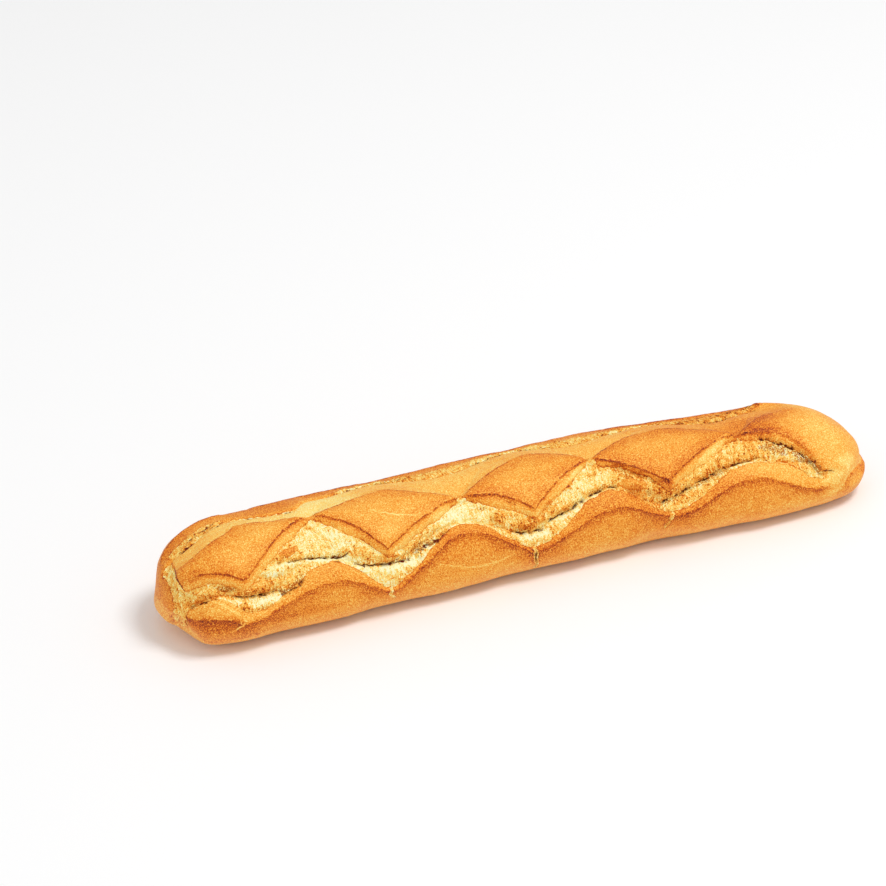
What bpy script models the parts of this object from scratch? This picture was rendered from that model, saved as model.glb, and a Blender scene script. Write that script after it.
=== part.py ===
"""A white bread loaf: a long bar scored with a lattice of slanting cuts that opened in the oven.

The loaf lies along X and rests on Z = 0, and its near side faces -Y. Its skin is one closed grid.
Rows run along the loaf from pole to pole. Columns run round it and follow the lines of the
scoring: the edges of the diamonds left on top, the foot of their cut faces, the tears, and the
edges of the side crust. Angles are in degrees round the section, 0 at the top, 90 at the near
side, -90 at the far side and 180 underneath. Lengths are in metres.
"""

import bpy
import numpy as np

# Whole loaf.
LENGTH = 0.445
WIDTH = 0.0803
HEIGHT = 0.0583
WAIST_SHARE = 0.42
CAP_LENGTH = 0.041
CAP_POWER = 2.2
TOP_POWER = 2.2
BASE_POWER = 3.0
BASE_CUT = 0.0012
TAPER_START = 0.060
TAPER = 0.19
BEND = 0.0075
SLANT = -0.0025

# How the underside of each end rises to its pole: power for the -X end, then for the +X end.
END_BASE_POWERS = (1.0, 0.8)

# Cuts on the ridge: where two cuts cross, as (place along X, angle), and half the gap there.
CROSSINGS = ((-0.1325, 8.0), (-0.0435, 26.0), (0.041, 17.0), (0.1355, 18.0))
TIP_GAPS = (0.0046, 0.0036, 0.0036, 0.0036)
CROSSING_REACH = 0.011

# Width of a cut face in degrees, as (place, width), and its width at a crossing.
CUT_FACE_TURN = ((-0.20, 10.5), (0.115, 10.5), (0.152, 6.5), (0.166, 9.0), (0.181, 3.5))
CUT_FACE_TURN_AT_CROSSING = 4.0

# Lower and upper tips of the diamonds, as (place, angle, power of the left edge, of the right).
NEAR_TIPS = (
    (-0.183, 55.0, 2.3, 1.6),
    (-0.096, 58.0, 1.6, 1.6),
    (-0.003, 53.0, 2.2, 1.6),
    (0.082, 54.0, 1.6, 1.6),
    (0.180, 70.0, 4.0, 1.0),
)
FAR_TIPS = (
    (-0.176, -1.5, 0.8, 1.2),
    (-0.084, -3.5, 1.3, 1.2),
    (0.005, -5.0, 1.5, 2.0),
    (0.090, -4.0, 2.0, 1.8),
    (0.195, -13.0, 2.2, 1.0),
)
NEAR_END = (-0.216, 36.0)
FAR_END = (-0.208, 15.5)

# Zigzag lines as (place, angle): their points lie by turns on a peak and in a valley.
NEAR_TEAR = (
    (-0.216, 72.0), (-0.203, 63.0), (-0.172, 73.0), (-0.140, 48.0), (-0.098, 73.0), (-0.049, 47.0),
    (-0.006, 75.0), (0.048, 45.0), (0.076, 76.0), (0.137, 46.0), (0.172, 58.0), (0.190, 75.0),
)
NEAR_PALE_FOOT = (
    (-0.217, 80.0), (-0.203, 65.0), (-0.183, 90.0), (-0.130, 56.0), (-0.096, 92.0), (-0.047, 48.5),
    (-0.005, 89.0), (0.046, 49.0), (0.082, 86.0), (0.137, 50.5), (0.182, 87.0), (0.215, 90.0),
)
NEAR_CRUST_EDGE = (
    (-0.217, 89.0), (-0.203, 86.0), (-0.183, 91.5), (-0.132, 75.5), (-0.096, 93.5), (-0.048, 60.0),
    (-0.004, 91.0), (0.045, 69.0), (0.086, 89.5), (0.134, 67.0), (0.181, 90.0), (0.215, 92.0),
)
FAR_TEAR = (
    (-0.216, -22.0), (-0.190, -22.0), (-0.165, -26.0), (-0.131, -14.0), (-0.084, -34.0),
    (-0.045, -12.0), (0.006, -32.0), (0.041, -14.0), (0.090, -32.0), (0.131, -13.0),
    (0.168, -38.0), (0.215, -44.0),
)
FAR_PALE_FOOT = (
    (-0.217, -25.5), (-0.190, -25.5), (-0.165, -30.0), (-0.131, -25.0), (-0.084, -44.0),
    (-0.045, -28.0), (0.006, -46.0), (0.041, -30.0), (0.090, -46.0), (0.131, -37.0),
    (0.168, -43.0), (0.215, -48.0),
)
FAR_CRUST_EDGE = (
    (-0.217, -34.0), (-0.190, -35.0), (-0.165, -41.0), (-0.131, -38.0), (-0.084, -51.0),
    (-0.045, -40.0), (0.006, -52.0), (0.041, -42.0), (0.090, -51.0), (0.131, -43.0),
    (0.168, -49.0), (0.215, -54.0),
)

# Least distances between neighbouring lines, in degrees, so that none of them cross.
LEAST_HALF_DIAMOND = 2.0
LEAST_CRUMB = 4.0
LEAST_LOWER_FACE = 2.5

# Heights above the plain body.
DOME = 0.0009
DIAMOND_EDGE = 0.0012
CUT_FACE_FOOT = -0.0027
TEAR_FLOOR = -0.0078
PALE_FOOT = -0.0027
CRUST_EDGE = 0.0010
SADDLE = -0.0014
SADDLE_COLUMNS = 1.4
UNDER_EDGE = -0.0006
UNDER_EDGE_TURN = 9.0

# Depth of the far side's hollows, as a share of the near side's.
FAR_DEPTH_SHARE = 0.5

# The cuts run out before the ends of the loaf, and the left end has one more cut right round it.
CUTS_START = (-0.219, -0.214)
CUTS_END = (0.176, 0.196)
END_CUT_PLACE = -0.2172
END_CUT_WIDTH = 0.0026
END_CUT_DEPTH = 0.0026
END_CUT_ANGLES = (-30.0, 150.0)
END_CUT_FADE = 11.0

# Gentle unevenness of the whole bar, as (waves along the loaf, waves round it, phase, height).
SWELLS = (
    (2.3, 1.0, 0.4, 0.0006),
    (5.1, 2.0, 1.9, 0.0004),
    (9.7, 3.0, 4.2, 0.0003),
    (15.3, 2.0, 2.7, 0.0002),
)

# Swelling of the near side's crust between the cuts, as (place, height), strongest at one angle.
BULGES = (
    (-0.216, -0.0022), (-0.205, 0.0022), (-0.190, 0.0004), (-0.168, 0.0006), (-0.132, 0.0027),
    (-0.092, 0.0), (-0.057, 0.0020), (-0.012, -0.0004), (0.026, 0.0013), (0.050, 0.0),
    (0.076, -0.0040), (0.104, -0.0004), (0.150, 0.0011), (0.192, -0.0010), (0.209, 0.0010),
)
BULGE_ANGLE = 122.0
BULGE_REACH = 34.0

# Swells and bulges fade over this height above the board, so that the base stays flat.
BASE_FADE = 0.012

# Lip of the far crust beside the last cut, as (place, angle), and its reach each way.
FAR_LIP = (0.171, -43.0)
FAR_LIP_REACH = (0.017, 9.0)
FAR_LIP_RISE = 0.0046

# At the +X end the upper part draws in, and the crust below it stands out a little.
END_STEP_PLACES = (0.192, 0.214)
END_STEP_ANGLES = (78.0, 104.0)
END_STEP_FAR_ANGLES = (-45.0, 0.0)
END_DROP = 0.0026
END_RISE = 0.0010

# Relief fades where the section of a rounded end is smaller than one part in this many.
POLE_FADE = 3.0

# Grid: rows on the straight body and on each rounded end, and steps between the column lines.
BODY_ROWS = 128
CAP_ROWS = 15
PANEL_STEPS = 6
FACE_STEPS = 1
UPPER_PALE_STEPS = 3
LOWER_PALE_STEPS = 2
LOWER_FACE_STEPS = 2
SIDE_STEPS = 4
BASE_STEPS = 3
SIDE_END = 128.0

CRUST_COLOUR = (0.80, 0.36, 0.085, 1.0)
CRUST_ROUGHNESS = 0.55
SHARP_ANGLE = 24.0


def clear_scene():
    """Removes every object of the open scene."""
    for obj in list(bpy.data.objects):
        bpy.data.objects.remove(obj, do_unlink=True)


def ease(low, high, value):
    """Goes smoothly from 0 at low to 1 at high."""
    share = np.clip((value - low) / (high - low), 0.0, 1.0)
    return share * share * (3.0 - 2.0 * share)


def bell(distance, width):
    """A Gauss curve: 1 in the middle, about a third at the width."""
    return np.exp(-((distance / width) ** 2))


def wave_line(points, place):
    """A line through the points with a level turn at each, like a row of half cosine waves."""
    places, angles = np.array(points).T
    index = np.clip(np.searchsorted(places, place) - 1, 0, len(places) - 2)
    share = np.clip((place - places[index]) / (places[index + 1] - places[index]), 0.0, 1.0)
    rise = 0.5 - 0.5 * np.cos(np.pi * share)
    return angles[index] + (angles[index + 1] - angles[index]) * rise


def near_diamond_edge(place):
    """The lower edge of the row of diamonds: power curves that are level at the crossings."""
    edge = np.full_like(place, NEAR_TIPS[-1][1])
    for (tip, tip_angle, power, _), (start, start_angle) in zip(NEAR_TIPS, (NEAR_END,) + CROSSINGS):
        share = np.clip((tip - place) / (tip - start), 0.0, 1.0)
        leg = start_angle + (tip_angle - start_angle) * (1.0 - share) ** power
        edge = np.where((place >= start) & (place <= tip), leg, edge)
    for (tip, tip_angle, _, power), (end, end_angle) in zip(NEAR_TIPS, CROSSINGS):
        share = np.clip((place - tip) / (end - tip), 0.0, 1.0)
        leg = end_angle + (tip_angle - end_angle) * (1.0 - share) ** power
        edge = np.where((place > tip) & (place <= end), leg, edge)
    return np.where(place < NEAR_END[0], NEAR_END[1], edge)


def far_diamond_edge(place):
    """The upper edge of the row of diamonds: power curves that are level at their tips."""
    edge = np.full_like(place, FAR_TIPS[-1][1])
    for (tip, tip_angle, power, _), (start, start_angle) in zip(FAR_TIPS, (FAR_END,) + CROSSINGS):
        share = np.clip((tip - place) / (tip - start), 0.0, 1.0)
        leg = tip_angle + (start_angle - tip_angle) * share ** power
        edge = np.where((place >= start) & (place <= tip), leg, edge)
    for (tip, tip_angle, _, power), (end, end_angle) in zip(FAR_TIPS, CROSSINGS):
        share = np.clip((place - tip) / (end - tip), 0.0, 1.0)
        leg = tip_angle + (end_angle - tip_angle) * share ** power
        edge = np.where((place > tip) & (place <= end), leg, edge)
    return np.where(place < FAR_END[0], FAR_END[1], edge)


def cut_face_turn(place):
    """Width of a cut face in degrees, narrower beside the crossings."""
    closeness = sum(bell(place - cross[0], CROSSING_REACH) for cross in CROSSINGS)
    turn = wave_line(CUT_FACE_TURN, place)
    return turn + (CUT_FACE_TURN_AT_CROSSING - turn) * np.clip(closeness, 0.0, 1.0)


def row_places():
    """(places along X, size of the section there as a share), from pole to pole."""
    half_body = LENGTH / 2 - CAP_LENGTH
    turn = np.linspace(0.0, np.pi / 2, CAP_ROWS + 1)[1:-1]
    reach = CAP_LENGTH * np.sin(turn) ** (2 / CAP_POWER)
    size = np.cos(turn) ** (2 / CAP_POWER)
    body = np.linspace(-half_body, half_body, BODY_ROWS)
    places = np.concatenate([-half_body - reach[::-1], body, half_body + reach])
    sizes = np.concatenate([size[::-1], np.ones(BODY_ROWS), size])
    return places, sizes


def column_lines(place):
    """The angles of the lines that columns follow, from the far base round the top to the near base."""
    near_edge = near_diamond_edge(place)
    far_edge = far_diamond_edge(place)
    middle = (near_edge + far_edge) / 2
    near_edge = np.maximum(near_edge, middle + LEAST_HALF_DIAMOND)
    far_edge = np.minimum(far_edge, middle - LEAST_HALF_DIAMOND)
    turn = cut_face_turn(place)
    near_face = near_edge + turn
    near_tear = np.maximum(wave_line(NEAR_TEAR, place), near_face + LEAST_CRUMB)
    near_pale = np.maximum(wave_line(NEAR_PALE_FOOT, place), near_tear + LEAST_CRUMB)
    near_crust = np.maximum(wave_line(NEAR_CRUST_EDGE, place), near_pale + LEAST_LOWER_FACE)
    far_face = far_edge - turn
    far_tear = np.minimum(wave_line(FAR_TEAR, place), far_face - LEAST_CRUMB)
    far_pale = np.minimum(wave_line(FAR_PALE_FOOT, place), far_tear - LEAST_CRUMB)
    far_crust = np.minimum(wave_line(FAR_CRUST_EDGE, place), far_pale - LEAST_LOWER_FACE)
    side = np.full_like(place, SIDE_END)
    base = np.full_like(place, 180.0)
    far = [-base, -side, far_crust, far_pale, far_tear, far_face, far_edge]
    return far + [near_edge, near_face, near_tear, near_pale, near_crust, side, base]


def column_grid(lines):
    """(angles, line positions) on the grid: position 6.5 is the middle of a diamond."""
    one_side = [BASE_STEPS, SIDE_STEPS, LOWER_FACE_STEPS, LOWER_PALE_STEPS, UPPER_PALE_STEPS, FACE_STEPS]
    steps = one_side + [PANEL_STEPS] + one_side[::-1]
    angles = []
    positions = []
    for index, count in enumerate(steps):
        for step in range(count):
            share = step / count
            angles.append(lines[index] * (1 - share) + lines[index + 1] * share)
            positions.append(index + share)
    return np.array(angles).T, np.array(positions)


def scoring(place, angles, positions, lines):
    """Height of the scoring above the plain body, from the heights on its lines."""
    levels = np.array([
        0.0, 0.0, CRUST_EDGE, PALE_FOOT, TEAR_FLOOR, CUT_FACE_FOOT, DIAMOND_EDGE,
        DIAMOND_EDGE, CUT_FACE_FOOT, TEAR_FLOOR, PALE_FOOT, CRUST_EDGE, 0.0, 0.0,
    ])
    height = np.interp(positions, np.arange(len(levels)), levels)[None, :] + 0.0 * angles
    across = np.clip(2.0 * (positions - 6.0) - 1.0, -1.0, 1.0)
    height = height + DOME * (1.0 - across ** 2)[None, :]
    far_hollow = (positions < 6.5)[None, :] & (height < 0.0)
    height = np.where(far_hollow, height * FAR_DEPTH_SHARE, height)
    for crust_edge, sign in ((lines[11], 1.0), (lines[2], -1.0)):
        below = np.maximum((angles - crust_edge[:, None]) * sign / UNDER_EDGE_TURN, 0.0)
        height = height + UNDER_EDGE * below * np.exp(1.0 - below)
    gaps = sum(bell(place - cross[0], gap) for cross, gap in zip(CROSSINGS, TIP_GAPS))
    saddle = np.clip(gaps, 0.0, 1.0)[:, None]
    on_top = bell(positions - 6.5, SADDLE_COLUMNS)[None, :]
    height = height + (SADDLE - height) * saddle * on_top
    open_share = ease(*CUTS_START, place) * (1.0 - ease(*CUTS_END, place))
    return height * open_share[:, None]


def end_cut(place, angles):
    """Groove of the cut right round the left end."""
    shape = bell(place - END_CUT_PLACE, END_CUT_WIDTH)[:, None]
    start, stop = END_CUT_ANGLES
    begun = ease(start - END_CUT_FADE, start + END_CUT_FADE, angles)
    ended = ease(stop - END_CUT_FADE, stop + END_CUT_FADE, angles)
    return -END_CUT_DEPTH * shape * begun * (1.0 - ended)


def unevenness(place, angles, above_board):
    """Swells of the whole bar and bulges of its near side, none of them on the flat base."""
    total = wave_line(BULGES, place)[:, None] * bell(angles - BULGE_ANGLE, BULGE_REACH)
    for along, around, phase, height in SWELLS:
        wave = np.sin(2 * np.pi * along * place[:, None] / LENGTH + phase)
        total = total + height * wave * np.cos(np.radians(angles) * around + phase)
    return total * ease(0.0, BASE_FADE, above_board)


def far_lip(place, angles):
    """Rise of the far crust's lip."""
    along = bell(place - FAR_LIP[0], FAR_LIP_REACH[0])[:, None]
    return FAR_LIP_RISE * along * bell(angles - FAR_LIP[1], FAR_LIP_REACH[1])


def end_step(place, angles):
    """The step across the +X end."""
    at_end = ease(*END_STEP_PLACES, place)[:, None]
    below = ease(*END_STEP_ANGLES, angles)
    upper = (1.0 - below) * ease(*END_STEP_FAR_ANGLES, angles)
    return at_end * (END_RISE * below - END_DROP * upper)


def plain_body(place, size, angles):
    """Points of the body without its scoring: a superellipse section, tapered, bent and capped."""
    scale = 1.0 - TAPER * np.maximum((place - TAPER_START) / (LENGTH / 2 - TAPER_START), 0.0) ** 2
    half_width = (WIDTH / 2 * scale)[:, None]
    height = (HEIGHT * scale)[:, None]
    waist = WAIST_SHARE * height
    base_size = (size ** np.where(place < 0.0, *END_BASE_POWERS))[:, None]
    size = size[:, None]
    turn = np.radians(angles)
    sine, cosine = np.sin(turn), np.cos(turn)
    top = cosine > 0
    side_power = np.where(top, 2 / TOP_POWER, 2 / BASE_POWER)
    across = -half_width * size * np.sign(sine) * np.abs(sine) ** side_power
    above = (height - waist) * size * np.abs(cosine) ** (2 / TOP_POWER)
    below = -waist * base_size * np.abs(cosine) ** (2 / BASE_POWER)
    share = place / (LENGTH / 2)
    middle = (BEND * (0.5 - share ** 2) + SLANT * share)[:, None]
    along = place[:, None] + 0.0 * angles
    return np.stack([along, middle + across, waist + np.where(top, above, below)], axis=-1)


def outward(points):
    """Unit normals of the grid, from the slopes along its rows and round its columns."""
    along = np.gradient(points, axis=0)
    around = np.roll(points, -1, axis=1) - np.roll(points, 1, axis=1)
    normal = np.cross(around, along)
    return normal / np.maximum(np.linalg.norm(normal, axis=-1, keepdims=True), 1e-12)


def loaf_points():
    """(grid of points, left pole, right pole) of the whole skin."""
    place, size = row_places()
    lines = column_lines(place)
    angles, positions = column_grid(lines)
    plain = plain_body(place, size, angles)
    height = scoring(place, angles, positions, lines) + end_cut(place, angles)
    height += unevenness(place, angles, plain[..., 2])
    height += far_lip(place, angles) + end_step(place, angles)
    height *= np.clip(size * POLE_FADE, 0.0, 1.0)[:, None]
    points = plain + outward(plain) * height[..., None]
    ends = np.array([-LENGTH / 2, LENGTH / 2])
    poles = plain_body(ends, np.zeros(2), np.zeros((2, 1)))[:, 0]
    points[..., 2] = np.maximum(points[..., 2] - BASE_CUT, 0.0)
    poles[:, 2] -= BASE_CUT
    return points, poles


def grid_faces(rows, columns):
    """Quads between neighbouring rows, and a fan of triangles to each pole."""
    start = np.arange(rows - 1)[:, None] * columns
    here = np.arange(columns)[None, :]
    after = (here + 1) % columns
    quads = np.stack([start + here, start + after, start + columns + after, start + columns + here], axis=-1)
    left = rows * columns
    right = left + 1
    last = (rows - 1) * columns
    fans = [(left, int((i + 1) % columns), int(i)) for i in range(columns)]
    fans += [(right, int(last + i), int(last + (i + 1) % columns)) for i in range(columns)]
    return quads.reshape(-1, 4).tolist() + fans


def crust_material():
    """Baked crust."""
    material = bpy.data.materials.new("crust")
    material.use_nodes = True
    shader = material.node_tree.nodes["Principled BSDF"]
    shader.inputs["Base Color"].default_value = CRUST_COLOUR
    shader.inputs["Roughness"].default_value = CRUST_ROUGHNESS
    shader.inputs["Metallic"].default_value = 0.0
    return material


def build_loaf():
    """The loaf as one closed mesh, centred on its own box and resting on Z = 0."""
    points, poles = loaf_points()
    rows, columns = points.shape[:2]
    vertices = np.concatenate([points.reshape(-1, 3), poles])
    middle = (vertices.min(axis=0) + vertices.max(axis=0)) / 2
    vertices[:, :2] -= middle[:2]
    mesh = bpy.data.meshes.new("loaf")
    mesh.from_pydata(vertices.tolist(), [], grid_faces(rows, columns))
    mesh.materials.append(crust_material())
    mesh.shade_smooth()
    mesh.set_sharp_from_angle(angle=np.radians(SHARP_ANGLE))
    loaf = bpy.data.objects.new("loaf", mesh)
    bpy.context.scene.collection.objects.link(loaf)
    return loaf


clear_scene()
build_loaf()
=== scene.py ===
"""A white bread loaf: its crust, opened cuts and torn crumb, and the studio and camera round it.

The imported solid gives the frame. One finely divided skin replaces it: the same body and the same
lattice of cuts, with the crags, tears, blisters and browning that a solid leaves out. Lengths are
in metres, and angles in degrees round the section: 0 at the top, 90 at the near side (-Y), -90 at
the far side and 180 underneath.
"""

import logging
from dataclasses import dataclass
from enum import Enum

import bpy
import numpy as np
from mathutils import Matrix, Vector


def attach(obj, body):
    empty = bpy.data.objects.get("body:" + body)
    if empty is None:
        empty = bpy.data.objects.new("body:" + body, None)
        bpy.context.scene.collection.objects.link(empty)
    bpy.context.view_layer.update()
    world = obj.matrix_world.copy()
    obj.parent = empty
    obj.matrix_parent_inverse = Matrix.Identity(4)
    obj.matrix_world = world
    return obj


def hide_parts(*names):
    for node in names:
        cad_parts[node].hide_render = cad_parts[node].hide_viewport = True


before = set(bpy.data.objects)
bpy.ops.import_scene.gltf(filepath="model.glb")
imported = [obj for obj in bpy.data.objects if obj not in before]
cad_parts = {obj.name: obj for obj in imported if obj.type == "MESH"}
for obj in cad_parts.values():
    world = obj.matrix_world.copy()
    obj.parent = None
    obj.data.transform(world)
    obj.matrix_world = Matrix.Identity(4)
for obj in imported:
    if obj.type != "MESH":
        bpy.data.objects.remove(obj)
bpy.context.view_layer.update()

LOG = logging.getLogger("loaf")
METRES_PER_DEGREE = 0.00064

Pair = tuple[float, float]
Pairs = tuple[Pair, ...]
Tips = tuple[tuple[float, float, float, float], ...]
Colour = tuple[int, int, int]
Stops = tuple[tuple[float, Colour], ...]
Fields = dict[str, np.ndarray]
Stretch = tuple[float, float, float]
Socket = bpy.types.NodeSocket
Input = Socket | float | tuple[float, ...]


def ease(low: float, high: float, value: np.ndarray) -> np.ndarray:
    """Goes smoothly from 0, where value is at most low, to 1, where it is at least high."""
    share = np.clip((value - low) / (high - low), 0.0, 1.0)
    return share * share * (3.0 - 2.0 * share)


def bell(distance: np.ndarray, width: float) -> np.ndarray:
    """A Gauss curve: 1 in the middle, and about a third where distance equals width."""
    return np.exp(-((distance / width) ** 2))


def wave_line(points: Pairs, place: np.ndarray) -> np.ndarray:
    """A line through points with a level turn at each, like a row of half cosine waves.

    Args:
        points: (place, angle) pairs in order along the loaf.
        place: Places along X.

    Returns:
        The line's angle at each place.
    """
    places, angles = np.array(points).T
    index = np.clip(np.searchsorted(places, place) - 1, 0, len(places) - 2)
    share = np.clip((place - places[index]) / (places[index + 1] - places[index]), 0.0, 1.0)
    rise = 0.5 - 0.5 * np.cos(np.pi * share)
    return angles[index] + (angles[index + 1] - angles[index]) * rise


@dataclass(frozen=True)
class Noise:
    """Smooth random relief that is the same on each run.

    Attributes:
        seed: Whole number that picks the pattern.
    """

    seed: int
    axis_factors = (374761393, 668265263, 1440670441)
    seed_factor = 974711
    stir_factor = 1274126177
    layer_shift = 17.3

    def corner(self, cell: np.ndarray, offset: np.ndarray) -> np.ndarray:
        """The slope stored at one corner of each cell, followed to the point.

        Args:
            cell: Whole-number cell corners, with three numbers in the last axis.
            offset: From the corner to the point.

        Returns:
            One height for each point.
        """
        key = sum(cell[..., axis] * factor for axis, factor in enumerate(self.axis_factors))
        key = (key + self.seed * self.seed_factor) & 0xFFFFFFFF
        key = ((key ^ (key >> 13)) * self.stir_factor) & 0xFFFFFFFF
        key ^= key >> 16
        slopes = [((key >> shift) & 1023) / 511.5 - 1.0 for shift in (0, 10, 20)]
        return sum(slope * offset[..., axis] for axis, slope in enumerate(slopes))

    def at(self, where: np.ndarray) -> np.ndarray:
        """Gradient noise: the eight corners of a point's cell, blended by a quintic curve.

        Args:
            where: Points with three numbers in the last axis, in cells.

        Returns:
            Values from about -1 to 1, with one bump or hollow to a cell.
        """
        base = np.floor(where).astype(np.int64)
        local = where - base
        blend = local ** 3 * (local * (local * 6.0 - 15.0) + 10.0)
        total = np.zeros(where.shape[:-1])
        for step in np.ndindex(2, 2, 2):
            corner = np.array(step)
            weight = np.prod(np.where(corner, blend, 1.0 - blend), axis=-1)
            total += weight * self.corner(base + corner, local - corner)
        return total * 1.6

    def layered(self, where: np.ndarray, octaves: int) -> np.ndarray:
        """Noise of so many octaves, each half the size and half the height of the one before."""
        layers = [self.at(where * 2.0 ** level + self.layer_shift * level) for level in range(octaves)]
        return sum(layer * 0.5 ** level for level, layer in enumerate(layers))


@dataclass(frozen=True)
class Body:
    """The plain loaf under its scoring: a superellipse section, tapered, bent and capped.

    Attributes:
        length: From end to end.
        width: Of the section at its widest.
        height: Of the section before the base is cut flat.
        waist_share: Height of the widest point, as a share of the height.
        cap_length: Length of each rounded end.
        cap_power: Superellipse power of an end.
        top_power: Superellipse power of the section above the waist.
        base_power: The same below the waist.
        end_base_powers: How steeply the underside rises to the -X pole, and to the +X pole.
        base_cut: How much the flat base takes off.
        taper_start: Where the loaf starts to narrow towards +X.
        taper: Share of the size lost at the +X end.
        bend: Sideways bow of the middle.
        slant: Sideways drift of the middle line at the +X end.
        recentre: Shift along X and Y that centres the loaf on its box.
        swells: Unevenness of the bar, as (waves along it, waves round it, phase, height).
        bulges: Swelling and pinching of the near side between the cuts, as (place, height).
        bulge_angle: Where round the section that is strongest.
        bulge_reach: Degrees over which it fades.
        base_fade: Height above the board over which swells and bulges come in.
        far_lip: Place and angle of the raised lip of the far crust.
        far_lip_reach: Its reach along the loaf, and in degrees round it.
        far_lip_rise: Its height.
        end_step_places: Where the upper part of the +X end starts to draw in, and where it has.
        end_step_angles: The step between the upper part of that end and the crust below it.
        end_step_far_angles: Where the drawing in fades on the far side.
        end_drop: How far the upper part draws in.
        end_rise: How far the crust below stands out.
    """

    length: float = 0.445
    width: float = 0.0803
    height: float = 0.0583
    waist_share: float = 0.42
    cap_length: float = 0.041
    cap_power: float = 2.2
    top_power: float = 2.2
    base_power: float = 3.0
    end_base_powers: Pair = (1.0, 0.8)
    base_cut: float = 0.0012
    taper_start: float = 0.060
    taper: float = 0.19
    bend: float = 0.0075
    slant: float = -0.0025
    recentre: Pair = (-0.00007, -0.00189)
    swells: tuple[tuple[float, float, float, float], ...] = (
        (2.3, 1.0, 0.4, 0.0006),
        (5.1, 2.0, 1.9, 0.0004),
        (9.7, 3.0, 4.2, 0.0003),
        (15.3, 2.0, 2.7, 0.0002),
    )
    bulges: Pairs = (
        (-0.216, -0.0022), (-0.205, 0.0022), (-0.190, 0.0004), (-0.168, 0.0006), (-0.132, 0.0027),
        (-0.092, 0.0), (-0.057, 0.0020), (-0.012, -0.0004), (0.026, 0.0013), (0.050, 0.0),
        (0.076, -0.0040), (0.104, -0.0004), (0.150, 0.0011), (0.192, -0.0010), (0.209, 0.0010),
    )
    bulge_angle: float = 122.0
    bulge_reach: float = 34.0
    base_fade: float = 0.012
    far_lip: Pair = (0.171, -43.0)
    far_lip_reach: Pair = (0.017, 9.0)
    far_lip_rise: float = 0.0046
    end_step_places: Pair = (0.192, 0.214)
    end_step_angles: Pair = (83.0, 100.0)
    end_step_far_angles: Pair = (-45.0, 0.0)
    end_drop: float = 0.0026
    end_rise: float = 0.0010

    def rows(self, body_rows: int, cap_rows: int) -> tuple[np.ndarray, np.ndarray]:
        """Places of the rows from pole to pole.

        Args:
            body_rows: Rows on the straight part.
            cap_rows: Rows on each rounded end, closer together towards the pole.

        Returns:
            (places along X, size of the section there as a share).
        """
        half = self.length / 2 - self.cap_length
        turn = np.linspace(0.0, np.pi / 2, cap_rows + 1)[1:-1]
        reach = self.cap_length * np.sin(turn) ** (2 / self.cap_power)
        size = np.cos(turn) ** (2 / self.cap_power)
        places = np.concatenate([-half - reach[::-1], np.linspace(-half, half, body_rows), half + reach])
        return places, np.concatenate([size[::-1], np.ones(body_rows), size])

    def points(self, place: np.ndarray, size: np.ndarray, angles: np.ndarray) -> np.ndarray:
        """Points of the plain body.

        Each section is two half superellipses that meet at the waist. Its size follows a
        quadratic taper, and its middle a parabola with a slight drift.

        Args:
            place: Place of each row.
            size: Size of each row's section as a share.
            angles: Angle of each point, rows by columns.

        Returns:
            Rows by columns by three.
        """
        narrowing = np.maximum((place - self.taper_start) / (self.length / 2 - self.taper_start), 0.0)
        scale = (1.0 - self.taper * narrowing ** 2)[:, None]
        waist = self.waist_share * self.height * scale
        base_size = (size ** np.where(place < 0.0, *self.end_base_powers))[:, None]
        size = size[:, None]
        sine, cosine = np.sin(np.radians(angles)), np.cos(np.radians(angles))
        top = cosine > 0
        side_power = np.where(top, 2 / self.top_power, 2 / self.base_power)
        across = -self.width / 2 * scale * size * np.sign(sine) * np.abs(sine) ** side_power
        above = (self.height * scale - waist) * size * np.abs(cosine) ** (2 / self.top_power)
        below = -waist * base_size * np.abs(cosine) ** (2 / self.base_power)
        share = place / (self.length / 2)
        middle = (self.bend * (0.5 - share ** 2) + self.slant * share)[:, None]
        along = place[:, None] + 0.0 * angles
        return np.stack([along, middle + across, waist + np.where(top, above, below)], axis=-1)

    def swelling(self, place: np.ndarray, angles: np.ndarray, above_board: np.ndarray) -> np.ndarray:
        """Height of the bar's swells and bulges, the far lip, and the step across the +X end.

        Args:
            place: Place of each row.
            angles: Angle of each point, rows by columns.
            above_board: Height of each point above the board.

        Returns:
            Heights above the plain body. Swells are sine waves along the bar times cosine waves
            round it, and bulges and lip are Gauss curves.
        """
        uneven = wave_line(self.bulges, place)[:, None] * bell(angles - self.bulge_angle, self.bulge_reach)
        for along, around, phase, height in self.swells:
            wave = np.sin(2 * np.pi * along * place[:, None] / self.length + phase)
            uneven = uneven + height * wave * np.cos(np.radians(angles) * around + phase)
        lip = bell(place - self.far_lip[0], self.far_lip_reach[0])[:, None]
        lip = self.far_lip_rise * lip * bell(angles - self.far_lip[1], self.far_lip_reach[1])
        at_end = ease(*self.end_step_places, place)[:, None]
        below = ease(*self.end_step_angles, angles)
        upper = (1.0 - below) * ease(*self.end_step_far_angles, angles)
        step = at_end * (self.end_rise * below - self.end_drop * upper)
        return uneven * ease(0.0, self.base_fade, above_board) + lip + step

    def settle(self, points: np.ndarray) -> np.ndarray:
        """Cuts the base flat, and shifts the loaf to the middle of its box.

        Args:
            points: Finished points.

        Returns:
            The points where the CAD has them.
        """
        moved = points + np.array([*self.recentre, -self.base_cut])
        moved[..., 2] = np.maximum(moved[..., 2], 0.0)
        return moved


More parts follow.
